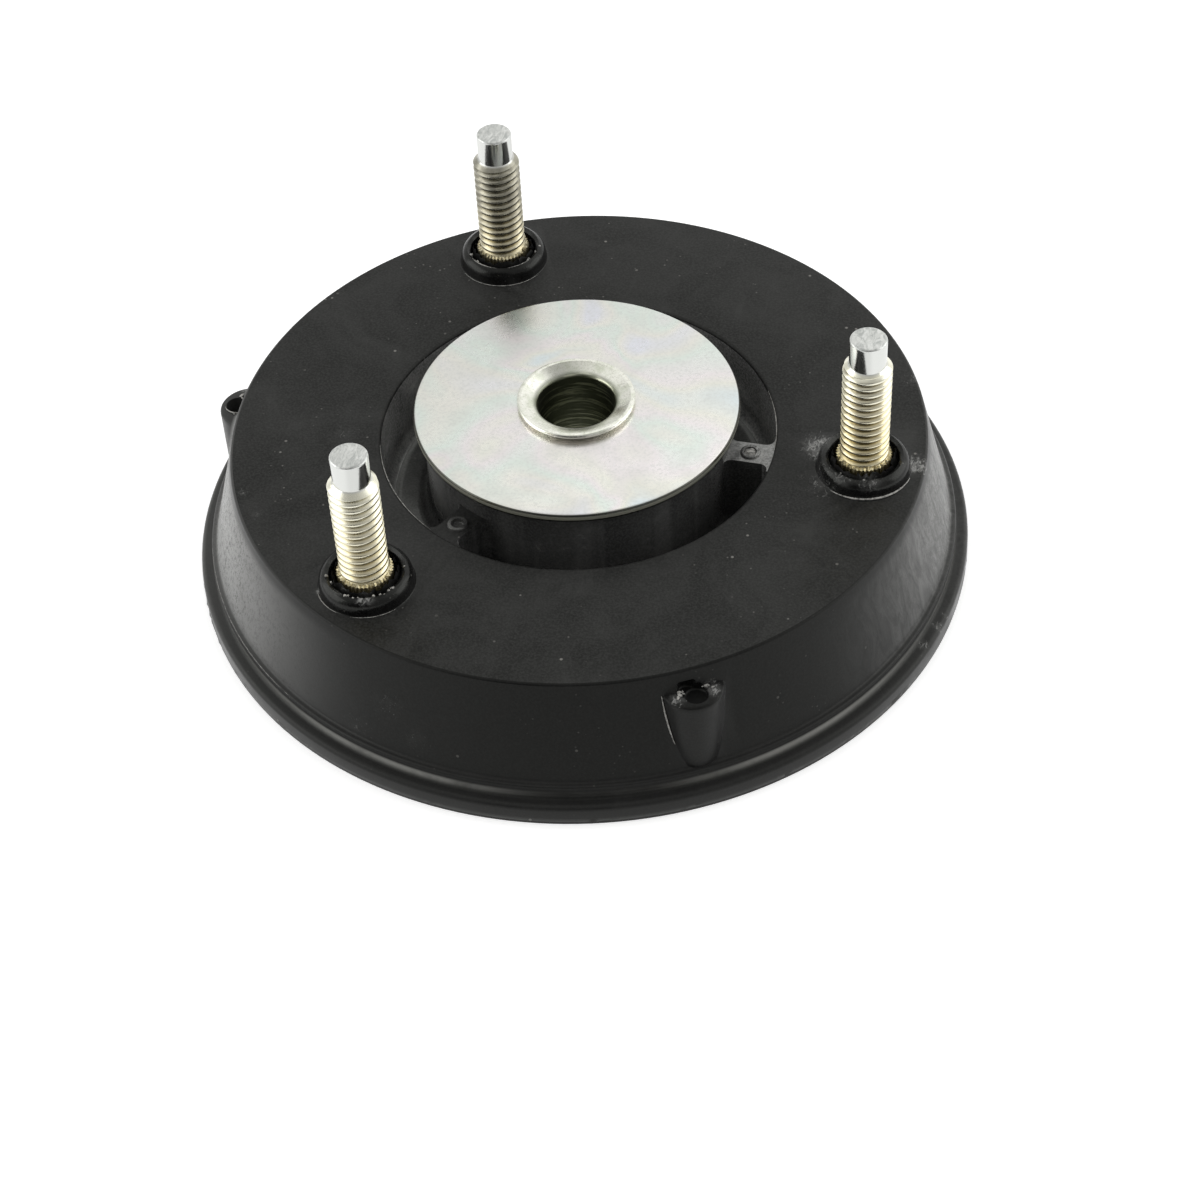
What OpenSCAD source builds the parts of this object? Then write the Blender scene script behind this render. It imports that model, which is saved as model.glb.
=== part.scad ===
// Strut top mount: a rubber bell bonded over a steel pressing, with three studs and a central sleeve.
// The origin is on the axis at the underside of the lip, +Z points up along the studs,
// and one stud lies on +X.

/* [Body] */
// Outer diameter of the lip, the widest size of the mount
lip_d = 164; // [150:0.5:190]
// Height of the top face above the underside of the lip
body_h = 29.6; // [26:0.1:40]
// Distance from a stud's axis to the outer corner of the top face
stud_margin = 12.4; // [11:0.1:16]
// Rounding of the outer corner of the top face
top_edge_r = 1.6; // [0.5:0.1:2.5]
// Widening of the skirt from the top face to its foot, on each side
skirt_spread = 5.7; // [4.5:0.1:7]
// Width of the step beyond the foot of the skirt
step_w = 1.2; // [1:0.1:2]
// Height of the step's top above the underside of the lip
step_h = 7.8; // [6.5:0.1:10]
// Width of the lip beyond the step
lip_w = 2.7; // [2.2:0.1:6]
// Height of the lip's outer face
lip_h = 4.7; // [4.2:0.1:5.5]
// Rounding of the corners of the step and the lip
lip_edge_r = 0.7; // [0.2:0.1:0.9]
// Thickness of the rubber skin over the steel pressing
skin_t = 2.2; // [1.8:0.1:3]

/* [Hub and pocket] */
// Distance from a stud's axis to the edge of the hole in the top face
stud_inset = 18.9; // [16:0.1:24]
// Rounding of the hole's edge
hole_edge_r = 1.3; // [0.5:0.1:2]
// Width of the ring pocket between the hole's wall and the hub
pocket_w = 9.1; // [7:0.1:14]
// Depth of the ring pocket below the top face
pocket_depth = 16.6; // [12:0.2:18]
// Fillet at the bottom of the pocket
pocket_r = 3; // [1:0.2:3.4]
// Height of the pressing's neck that is bonded below the pocket's floor
bond_h = 4; // [2.5:0.1:5]
// Height of the hub's top above the top face
hub_rise = 5.4; // [3:0.1:9]
// Thickness of a web across the pocket
web_w = 5.8; // [4:0.1:10]
// Drop of the webs' tops below the top face
web_drop = 0.3; // [0.1:0.1:2]
// Fillet where a web meets the hub and the wall of the hole
web_r = 1.8; // [0.5:0.1:3]
// Diameter of the round gate mark on each web
gate_d = 4; // [3:0.1:5]
// Wall of the gate mark's ring
gate_wall = 0.7; // [0.4:0.1:1]
// Height of the gate mark above the web
gate_h = 0.4; // [0.2:0.1:1]

/* [Stud collars] */
// Gap between a stud's shoulder and the collar round it
collar_gap = 1.1; // [0.6:0.1:1.6]
// Width of a collar's crest
crest_w = 1.5; // [1:0.1:2]
// Widening of a collar from its crest to its foot, on each side
collar_flare = 1; // [0.2:0.1:2]
// Height of a collar above the top face
collar_h = 3; // [1.2:0.1:4]
// Depth of the recess inside a collar, below the top face
recess_depth = 1; // [0.4:0.1:1.4]

/* [Side lugs] */
// Number of lugs, each midway between two studs
lug_count = 2; // [1:1:2]
// Diameter of the round front of a lug
lug_d = 12.2; // [10:0.2:16]
// Reach of a lug's front beyond the foot of the skirt
lug_reach = 0.2; // [0.1:0.1:0.6]
// Drop of a lug's top below the top face
lug_drop = 4.6; // [3.5:0.1:8]
// Diameter of the blind hole in a lug
lug_hole_d = 4.6; // [3:0.1:4.8]
// Depth of the blind hole in a lug
lug_hole_depth = 6; // [2:0.2:9]
// Wall between the blind hole and the front of a lug
lug_wall = 0.8; // [0.6:0.1:1.2]

/* [Steel pressing] */
// Thickness of the pressed sheet
plate_t = 2.5; // [2:0.1:3]
// Inside radius of the sheet's bends
bend_r = 1.5; // [1:0.1:2]
// Rubber under the foot flange
flange_gap = 1; // [0.8:0.1:1.2]
// Rubber outside the edge of the foot flange
flange_cover = 1.8; // [1.2:0.1:2]

/* [Studs] */
// Number of studs and of webs
stud_count = 3; // [3:1:5]
// Thread diameter of a stud
stud_d = 10; // [8:0.1:11]
// Height of a stud's tip above the top face
stud_reach = 34.2; // [26:0.2:50]
// Step from the thread down to the dog point, on each side
dog_step = 1.25; // [0.8:0.05:1.6]
// Length of the dog point
dog_len = 6.8; // [3:0.1:8]
// Chamfer on the tip of the dog point
dog_chamfer = 0.5; // [0.3:0.1:1.2]
// Length of the cone between the thread and the dog point
runin_len = 1.2; // [0.8:0.1:4]
// Step from the thread out to the knurled shoulder, on each side
knurl_step = 1.1; // [0.5:0.1:1.4]
// Height of the shoulder above the top face
knurl_rise = 4.2; // [3:0.1:6]
// Height of the cone between the shoulder and the thread
shoulder_cone = 1.4; // [0.5:0.1:2]
// Width of the bearing face of a stud's head
head_w = 1.4; // [1:0.1:2]
// Thickness of a stud's head
head_t = 3; // [2:0.1:4]

/* [Sleeve and washers] */
// Bore of the sleeve
bore_d = 16; // [12:0.1:18]
// Wall of the sleeve
sleeve_t = 2.5; // [2:0.1:4]
// Reach of the flared rim over the washer, beyond the sleeve's outside
flare_reach = 1.7; // [1:0.1:3]
// Height of the flared rim above the washer
flare_h = 1.7; // [1.2:0.1:3]
// Thickness of the flared rim at its edge
flare_edge = 0.8; // [0.4:0.1:1.1]
// Depth of the bore's mouth below the top of the rim
mouth_depth = 1.3; // [0.8:0.1:2]
// Rounding between the mouth and the bore
mouth_r = 1; // [0.4:0.1:2]
// Overhang of the upper washer beyond the hub
washer_over = 1.75; // [0.5:0.05:3]
// Thickness of the upper washer
washer_t = 1.8; // [1:0.1:3]
// Inset of the lower washer's edge from the side of the hub
lower_inset = 2; // [1:0.1:6]
// Thickness of the lower washer
lower_t = 2.5; // [1.5:0.1:3]
// Width of the lower washer's rim that the hub leaves bare
lower_bare = 1; // [0.5:0.1:2]
// Height of the lower washer above the underside of the lip
lower_gap = 3; // [2:0.1:4]
// Length of the sleeve below the lower washer
sleeve_tail = 0.6; // [0.2:0.1:1.5]
// Chamfer on the lower end of the sleeve
tail_chamfer = 0.5; // [0.2:0.1:1]

/* [Hidden] */
$fn = 96;

// Segments in each rounded corner of a profile
arc_steps = 6;
// Overlap of rubber features that are moulded onto the body
blend = 1;

// Radii of the bell, from the lip inwards over the circle of the studs to the hub
lip_r = lip_d / 2;
step_r = lip_r - lip_w;
foot_r = step_r - step_w;
top_r = foot_r - skirt_spread;
stud_r = top_r - stud_margin;
hole_r = stud_r - stud_inset;
hub_r = hole_r - pocket_w;

// Taper of the skirt
skirt_slope = skirt_spread / (body_h - step_h);
skirt_angle = atan(skirt_slope);

// Levels and radii of the pressing, whose bonded side lies one skin below the rubber
plate_top = body_h - skin_t;
plate_under = plate_top - plate_t;
neck_r = hole_r + skin_t;
flange_r = lip_r - flange_cover;
flange_top = flange_gap + plate_t;
outer_bend_r = bend_r + plate_t;

// Radius where the foot flange's underside turns flat, which is where the rubber lip ends inside
flange_flat_r = plate_skirt_r(flange_gap, skin_t + plate_t) + outer_bend_r * tan((90 - skirt_angle) / 2);

// Levels of the hub, from the lower washer to the upper one
pocket_floor = body_h - pocket_depth;
neck_end = pocket_floor - bond_h;
hub_top = body_h + hub_rise;
hub_under = lower_gap + lower_t;
lower_r = hub_r - lower_inset;
web_top = body_h - web_drop;
gate_r = (hub_r + hole_r) / 2;

// Angle from one stud to the next
stud_pitch = 360 / stud_count;

// Studs and their collars
knurl_r = stud_d / 2 + knurl_step;
recess_r = knurl_r + collar_gap;
crest_r = recess_r + crest_w;
shoulder_top = body_h + knurl_rise;
stud_tip = body_h + stud_reach;
dog_r = stud_d / 2 - dog_step;
dog_foot = stud_tip - dog_len;

// Lugs
lug_front_r = foot_r + lug_reach;
lug_top = body_h - lug_drop;
lug_hole_r = lug_front_r - lug_wall - lug_hole_d / 2;

// Sleeve
bore_r = bore_d / 2;
sleeve_r = bore_r + sleeve_t;
flare_r = sleeve_r + flare_reach;
washer_top = hub_top + washer_t;
sleeve_top = washer_top + flare_h;
sleeve_end = lower_gap - sleeve_tail;

// Radius of the skirt at height z, a given thickness of wall inside its outer face
function plate_skirt_r(z, depth) = foot_r + skirt_slope * (step_h - z) - depth / cos(skirt_angle);

function unit(p) = p / norm(p);

function heading(angle) = [cos(angle), sin(angle)];

function plan(corner) = [corner.x, corner.y];

// Points of the tangent arc of radius r at corner b, between its neighbours a and c
function corner_arc(a, b, c, r) =
    let (
        u = unit(a - b),
        v = unit(c - b),
        half = acos(u * v) / 2,
        start = b + u * r / tan(half),
        mid = b + unit(u + v) * r / sin(half),
        from = atan2(start.y - mid.y, start.x - mid.x),
        sweep = sign(cross(v, u)) * (180 - 2 * half)
    )
    [for (i = [0:arc_steps]) mid + r * heading(from + sweep * i / arc_steps)];

// Outline through corners given as [radius, height, rounding]
function rounded(corners) =
    let (n = len(corners))
    [
        for (i = [0:n - 1])
            let (b = corners[i])
            each (b.z == 0
                ? [plan(b)]
                : corner_arc(plan(corners[(i + n - 1) % n]), plan(b), plan(corners[(i + 1) % n]), b.z))
    ];

// The side of the pressing that the rubber is bonded to, from the neck's end to the foot flange
bond_line = [
    [neck_r, neck_end, 0],
    [neck_r, plate_top, outer_bend_r],
    [plate_skirt_r(plate_top, skin_t), plate_top, outer_bend_r],
    [plate_skirt_r(flange_top, skin_t), flange_top, bend_r],
    [flange_r, flange_top, 0],
    [flange_r, flange_gap, 0],
];

// The bare underside of the pressing, from the foot flange back to the neck's end
bare_line = [
    [plate_skirt_r(flange_gap, skin_t + plate_t), flange_gap, outer_bend_r],
    [plate_skirt_r(plate_under, skin_t + plate_t), plate_under, bend_r],
    [neck_r + plate_t, plate_under, bend_r],
    [neck_r + plate_t, neck_end, 0],
];

// The rubber's free surface, from the lip's inside up the skirt, over the top and down to the hub
free_line = [
    [flange_flat_r, flange_gap, 0],
    [flange_flat_r, 0, 0],
    [lip_r, 0, lip_edge_r],
    [lip_r, lip_h, lip_edge_r],
    [step_r, lip_h, lip_edge_r],
    [step_r, step_h, lip_edge_r],
    [foot_r, step_h, 0],
    [top_r, body_h, top_edge_r],
    [hole_r, body_h, hole_edge_r],
    [hole_r, pocket_floor, pocket_r],
    [hub_r, pocket_floor, pocket_r],
    [hub_r, hub_top, 0],
    [sleeve_r, hub_top, 0],
    [sleeve_r, hub_under, 0],
    [lower_r - lower_bare, hub_under, 0],
];

module revolve(corners) {
    rotate_extrude()
        polygon(rounded(corners));
}

// Puts its children at every stud
module around() {
    for (i = [0:stud_count - 1])
        rotate(i * stud_pitch)
            children();
}

// Puts its children at every lug, in the gaps after the second stud and those that follow it
module between() {
    for (i = [1:lug_count])
        rotate((i + 0.5) * stud_pitch)
            children();
}

// One side of a web in plan, from the fillet at the hub to the fillet at the wall of the hole
function web_side() =
    let (
        level = web_w / 2 + web_r,
        hub_mid = [sqrt(pow(hub_r + web_r, 2) - pow(level, 2)), level],
        wall_mid = [sqrt(pow(hole_r - web_r, 2) - pow(level, 2)), level],
        hub_turn = 90 - atan2(hub_mid.y, hub_mid.x),
        wall_turn = 90 + atan2(wall_mid.y, wall_mid.x)
    )
    concat(
        [for (i = [arc_steps:-1:0]) hub_mid + web_r * heading(270 - hub_turn * i / arc_steps)],
        [for (i = [0:arc_steps]) wall_mid + web_r * heading(270 + wall_turn * i / arc_steps)]
    );

// Rubber web across the pocket, with the ring that the moulding gate leaves on it
module web() {
    side = web_side();
    ends = [[hub_r - web_w, side[0].y], [hole_r + skin_t / 2, side[len(side) - 1].y]];
    half = concat([ends[0]], side, [ends[1]]);
    other = [for (i = [len(half) - 1:-1:0]) [half[i].x, -half[i].y]];
    base = pocket_floor - blend;
    translate([0, 0, base])
        linear_extrude(web_top - base)
            polygon(concat(half, other));
    translate([gate_r, 0, web_top - blend])
        difference() {
            cylinder(h = gate_h + blend, d = gate_d);
            translate([0, 0, blend])
                cylinder(h = gate_h + blend, d = gate_d - 2 * gate_wall);
        }
}

// Raised rubber ring round a stud
module collar() {
    root = plate_top + skin_t / 2;
    foot = crest_r + collar_flare;
    crest = body_h + collar_h;
    translate([stud_r, 0, 0])
        revolve([
            [0, root, 0],
            [foot, root, 0],
            [foot, body_h, 0],
            [crest_r, crest, crest_w / 2],
            [0, crest, 0],
        ]);
}

// Recess inside a collar and the hole for the stud's shoulder
module stud_recess() {
    translate([stud_r, 0, 0]) {
        translate([0, 0, body_h - recess_depth])
            cylinder(h = recess_depth + collar_h + blend, r = recess_r);
        translate([0, 0, plate_under - blend])
            cylinder(h = body_h - plate_under + blend, r = knurl_r);
    }
}

// Half-round lug on the skirt, kept clear of the pressing behind it
module lug() {
    difference() {
        translate([lug_front_r - lug_d / 2, 0, lip_h])
            cylinder(h = lug_top - lip_h, d = lug_d);
        cylinder(h = body_h, r1 = plate_skirt_r(0, skin_t / 2), r2 = plate_skirt_r(body_h, skin_t / 2));
    }
}

// Upright blind hole in a lug, which also notches the skirt above it
module lug_hole() {
    translate([lug_hole_r, 0, lug_top - lug_hole_depth])
        cylinder(h = lug_hole_depth + lug_drop, d = lug_hole_d);
}

module rubber_body() {
    color("#29292b")
        difference() {
            union() {
                revolve(concat(free_line, bond_line));
                around()
                    web();
                around()
                    collar();
                between()
                    lug();
            }
            around()
                stud_recess();
            between()
                lug_hole();
        }
}

module carrier_plate() {
    color("#1d1e20")
        difference() {
            revolve(concat(bond_line, bare_line));
            around()
                translate([stud_r, 0, plate_under - blend])
                    cylinder(h = plate_t + 2 * blend, r = knurl_r);
        }
}

module studs() {
    head_r = knurl_r + head_w;
    color("#cfc9b4")
        around()
            translate([stud_r, 0, 0])
                revolve([
                    [0, plate_under - head_t, 0],
                    [head_r, plate_under - head_t, head_t / 4],
                    [head_r, plate_under, 0],
                    [knurl_r, plate_under, 0],
                    [knurl_r, shoulder_top, 0],
                    [stud_d / 2, shoulder_top + shoulder_cone, 0],
                    [stud_d / 2, dog_foot - runin_len, 0],
                    [dog_r, dog_foot, 0],
                    [dog_r, stud_tip - dog_chamfer, 0],
                    [dog_r - dog_chamfer, stud_tip, 0],
                    [0, stud_tip, 0],
                ]);
}

module inner_sleeve() {
    color("#c9c3ad")
        revolve([
            [bore_r + tail_chamfer, sleeve_end, 0],
            [sleeve_r - tail_chamfer, sleeve_end, 0],
            [sleeve_r, sleeve_end + tail_chamfer, 0],
            [sleeve_r, washer_top, 0],
            [flare_r, sleeve_top - flare_edge, 0],
            [flare_r, sleeve_top, flare_edge / 2],
            [flare_r - flare_edge, sleeve_top, 0],
            [bore_r, sleeve_top - mouth_depth, mouth_r],
            [bore_r, sleeve_end + tail_chamfer, 0],
        ]);
}

module flat_washer(outer_r, level, thickness) {
    translate([0, 0, level])
        difference() {
            cylinder(h = thickness, r = outer_r);
            translate([0, 0, -blend])
                cylinder(h = thickness + 2 * blend, r = sleeve_r);
        }
}

module upper_washer() {
    color("#d6d8d4")
        flat_washer(hub_r + washer_over, hub_top, washer_t);
}

module lower_washer() {
    color("#c9cac6")
        flat_washer(lower_r, lower_gap, lower_t);
}

rubber_body();
carrier_plate();
studs();
inner_sleeve();
upper_washer();
lower_washer();
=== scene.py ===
"""Looks of a three-stud strut mount: rubber bell, threaded studs, flared sleeve and plated washers."""

import logging
import math
import random
from collections.abc import Callable
from dataclasses import dataclass, field
from enum import Enum
from typing import ClassVar

import bpy
from mathutils import Matrix, Vector


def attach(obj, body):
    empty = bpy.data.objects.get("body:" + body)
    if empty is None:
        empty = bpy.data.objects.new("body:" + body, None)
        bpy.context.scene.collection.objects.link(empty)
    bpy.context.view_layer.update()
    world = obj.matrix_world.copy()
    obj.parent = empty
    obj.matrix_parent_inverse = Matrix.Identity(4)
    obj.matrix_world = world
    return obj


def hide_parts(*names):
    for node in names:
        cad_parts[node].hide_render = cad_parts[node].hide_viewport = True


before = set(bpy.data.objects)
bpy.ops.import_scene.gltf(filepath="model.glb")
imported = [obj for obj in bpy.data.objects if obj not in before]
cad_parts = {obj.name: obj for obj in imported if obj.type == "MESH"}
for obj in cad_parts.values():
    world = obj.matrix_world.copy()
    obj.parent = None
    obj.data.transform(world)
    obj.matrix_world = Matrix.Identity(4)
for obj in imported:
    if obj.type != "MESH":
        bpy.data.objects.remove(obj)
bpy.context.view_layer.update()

LOG = logging.getLogger("strut_mount")
BODY = "root"
MM = 0.001
FULL_TURN = 2.0 * math.pi
WELD = 0.002 * MM
STUD_COUNT = 3
STUD_PITCHES = (0.0, 1.0, 2.0)
LUG_PITCHES = (1.512, 2.511)
WEB_PITCHES = (0.0, 1.0, 2.02)
QUARTER_TURN = math.pi / 2.0
PHOTO_TURN = math.radians(16.0)
PHOTO_FRONT = PHOTO_TURN - QUARTER_TURN
STUD_R = 60.0
LIP_R = 82.0

Colour = tuple[float, float, float]
Flat = tuple[float, float]
Stops = tuple[tuple[float, Colour], ...]


def pitch_angle(pitch: float) -> float:
    """Gives the angle of a place that is counted in pitches of the studs."""
    return pitch * FULL_TURN / STUD_COUNT


def heading(angle: float, reach: float = 1.0) -> Vector:
    """Gives the point at an angle in radians and a distance from the axis."""
    return Vector((math.cos(angle) * reach, math.sin(angle) * reach))


@dataclass(frozen=True)
class Corner:
    """A corner of a turned outline: its radius, its height and its rounding, in millimetres."""

    r: float
    z: float
    soft: float = 0.0

    @property
    def spot(self) -> Vector:
        """The corner as a flat vector."""
        return Vector((self.r, self.z))


def outline(corners: list[Corner], steps: int = 5) -> list[Flat]:
    """Rounds the corners of an outline.

    Args:
        corners: The sharp corners in order, as a closed loop.
        steps: Lines in each rounded corner.

    Returns:
        Points of the rounded outline, in millimetres.
    """
    points: list[Flat] = []
    for i, corner in enumerate(corners):
        if corner.soft == 0.0:
            points.append((corner.r, corner.z))
            continue
        before = (corners[i - 1].spot - corner.spot).normalized()
        after = (corners[(i + 1) % len(corners)].spot - corner.spot).normalized()
        half = before.angle(after) / 2.0
        middle = corner.spot + (before + after).normalized() * corner.soft / math.sin(half)
        start = corner.spot + before * corner.soft / math.tan(half) - middle
        end = corner.spot + after * corner.soft / math.tan(half) - middle
        first = math.atan2(start.y, start.x)
        sweep = math.remainder(math.atan2(end.y, end.x) - first, FULL_TURN)
        turns = [first + sweep * k / steps for k in range(steps + 1)]
        points += [tuple(middle + heading(turn, corner.soft)) for turn in turns]
    return points


class Cut(Enum):
    """How one solid is worked into another."""

    ADD = "UNION"
    TAKE = "DIFFERENCE"
    KEEP = "INTERSECT"


class Bench:
    """The modelling bench, where every mesh is shaped with Blender's operators."""

    @staticmethod
    def clear() -> None:
        """Leaves edit mode and deselects everything."""
        if bpy.context.object and bpy.context.object.mode != "OBJECT":
            bpy.ops.object.mode_set(mode="OBJECT")
        bpy.ops.object.select_all(action="DESELECT")

    @staticmethod
    def take(*pieces: bpy.types.Object) -> None:
        """Selects pieces and makes the first one active.

        Args:
            pieces: Objects to work on.
        """
        Bench.clear()
        for piece in pieces:
            piece.select_set(True)
        bpy.context.view_layer.objects.active = pieces[0]

    @staticmethod
    def join(*pieces: bpy.types.Object) -> bpy.types.Object:
        """Joins pieces into the first one.

        Args:
            pieces: Objects to join.

        Returns:
            The first piece.
        """
        Bench.take(*pieces)
        bpy.ops.object.join()
        return bpy.context.object

    @staticmethod
    def copy(piece: bpy.types.Object) -> bpy.types.Object:
        """Duplicates a piece with its mesh.

        Args:
            piece: Object to copy.

        Returns:
            The copy.
        """
        Bench.take(piece)
        bpy.ops.object.duplicate()
        return bpy.context.object

    @staticmethod
    def fix(*pieces: bpy.types.Object) -> None:
        """Applies the place, turn and scale of pieces to their meshes."""
        Bench.take(*pieces)
        bpy.ops.object.transform_apply(location=True, rotation=True, scale=True)

    @staticmethod
    def roughen(shift: float, seed: int) -> None:
        """Shifts the selected vertices at random, by a distance in millimetres at most."""
        bpy.ops.transform.vertex_random(offset=shift * MM, uniform=1.0, normal=0.0, seed=seed)

    @staticmethod
    def edit(piece: bpy.types.Object) -> None:
        """Opens a piece in edit mode with all of it selected.

        Args:
            piece: Object to open.
        """
        Bench.take(piece)
        bpy.ops.object.mode_set(mode="EDIT")
        bpy.ops.mesh.select_all(action="SELECT")

    @staticmethod
    def pick(piece: bpy.types.Object, test: Callable[[Vector], bool]) -> None:
        """Opens a piece in edit mode with chosen vertices selected.

        Args:
            piece: Object to open.
            test: Says for a vertex's place whether it is chosen.
        """
        Bench.clear()
        mesh = piece.data
        chosen = [test(vertex.co) for vertex in mesh.vertices]
        mesh.vertices.foreach_set("select", chosen)
        for kind in (mesh.edges, mesh.polygons):
            kind.foreach_set("select", [all(chosen[i] for i in item.vertices) for item in kind])
        Bench.take(piece)
        bpy.ops.object.mode_set(mode="EDIT")

    @staticmethod
    def draw(name: str, points: list[Vector]) -> bpy.types.Object:
        """Draws a line, each vertex extruded from the last.

        Args:
            name: Name of the new object.
            points: Points in millimetres.

        Returns:
            The line as a mesh object.
        """
        Bench.clear()
        bpy.ops.mesh.primitive_plane_add(size=MM)
        piece = bpy.context.object
        piece.name = name
        Bench.edit(piece)
        bpy.ops.mesh.merge(type="CENTER")
        bpy.ops.transform.translate(value=points[0] * MM)
        for here, there in zip(points, points[1:]):
            bpy.ops.mesh.extrude_region_move(TRANSFORM_OT_translate={"value": (there - here) * MM})
        Bench.clear()
        return piece

    @staticmethod
    def weld(piece: bpy.types.Object) -> None:
        """Merges doubles and turns the faces outwards.

        Args:
            piece: Object to clean.
        """
        Bench.edit(piece)
        bpy.ops.mesh.remove_doubles(threshold=WELD)
        bpy.ops.mesh.dissolve_degenerate(threshold=WELD)
        bpy.ops.mesh.select_all(action="SELECT")
        bpy.ops.mesh.normals_make_consistent(inside=False)
        Bench.clear()

    @staticmethod
    def turn(
        name: str, profile: list[Flat], steps: int, centre: float = 0.0, closed: bool = True,
    ) -> bpy.types.Object:
        """Spins an outline round an upright axis.

        Args:
            name: Name of the new object.
            profile: Points as radius and height, in millimetres.
            steps: Steps of the spin.
            centre: Distance of the axis from the origin, along X.
            closed: Whether the outline is a closed loop clear of the axis.

        Returns:
            The turned solid.
        """
        points = [Vector((centre + r, 0.0, z)) for r, z in profile]
        piece = Bench.draw(name, points + points[:1] if closed else points)
        Bench.edit(piece)
        middle = (centre * MM, 0.0, 0.0)
        bpy.ops.mesh.spin(steps=steps, angle=FULL_TURN, center=middle, axis=(0.0, 0.0, 1.0))
        Bench.weld(piece)
        return piece

    @staticmethod
    def prism(name: str, plan: list[Vector], low: float, high: float) -> bpy.types.Object:
        """Extrudes a closed plan upwards.

        Args:
            name: Name of the new object.
            plan: Points of the plan, in millimetres.
            low: Height of the lower face.
            high: Height of the upper face.

        Returns:
            The upright solid.
        """
        points = [Vector((p.x, p.y, low)) for p in plan]
        piece = Bench.draw(name, points + points[:1])
        Bench.edit(piece)
        bpy.ops.mesh.remove_doubles(threshold=WELD)
        bpy.ops.mesh.edge_face_add()
        bpy.ops.mesh.extrude_region_move(TRANSFORM_OT_translate={"value": (0.0, 0.0, (high - low) * MM)})
        Bench.weld(piece)
        return piece

    @staticmethod
    def loft(name: str, loops: list[list[Vector]]) -> bpy.types.Object:
        """Bridges closed loops of equal length into a capped solid.

        Args:
            name: Name of the new object.
            loops: Loops in order, in millimetres.

        Returns:
            The lofted solid.
        """
        piece = Bench.join(*[Bench.draw(name, loop + loop[:1]) for loop in loops])
        Bench.edit(piece)
        bpy.ops.mesh.remove_doubles(threshold=WELD)
        bpy.ops.mesh.bridge_edge_loops()
        bpy.ops.mesh.select_all(action="SELECT")
        bpy.ops.mesh.fill_holes(sides=0)
        Bench.weld(piece)
        return piece

    @staticmethod
    def around(piece: bpy.types.Object, pitches: tuple[float, ...] = STUD_PITCHES) -> bpy.types.Object:
        """Copies a piece round the axis and joins the copies.

        Args:
            piece: Object modelled on the +X side.
            pitches: Turn of each copy, in pitches of the studs.

        Returns:
            All the copies as one object.
        """
        copies = [piece, *[Bench.copy(piece) for _ in pitches[1:]]]
        for copy, pitch in zip(copies, pitches):
            copy.rotation_euler.z = pitch_angle(pitch)
        Bench.fix(*copies)
        return Bench.join(*copies)

    @staticmethod
    def modify(piece: bpy.types.Object, kind: str, **settings: object) -> None:
        """Adds a modifier and applies it.

        Args:
            piece: Object to change.
            kind: Blender's name of the modifier.
            settings: Values of the modifier.
        """
        Bench.take(piece)
        bpy.ops.object.modifier_add(type=kind)
        added = piece.modifiers[-1]
        for key, value in settings.items():
            setattr(added, key, value)
        bpy.ops.object.modifier_apply(modifier=added.name)

    @staticmethod
    def work(piece: bpy.types.Object, tool: bpy.types.Object, cut: Cut) -> None:
        """Works a tool solid into a piece and throws the tool away.

        Args:
            piece: Object to change.
            tool: Solid to add, take away or keep.
            cut: How the tool is used.
        """
        Bench.modify(piece, "BOOLEAN", operation=cut.value, solver="EXACT", object=tool)
        bpy.data.objects.remove(tool, do_unlink=True)
        Bench.weld(piece)

    @staticmethod
    def smooth(piece: bpy.types.Object, angle: float) -> None:
        """Shades a piece smooth, with sharp edges past an angle in degrees.

        Args:
            piece: Object to shade.
            angle: Largest angle that is shaded smooth.
        """
        Bench.take(piece)
        bpy.ops.object.shade_smooth_by_angle(angle=math.radians(angle))
        Bench.clear()


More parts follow.
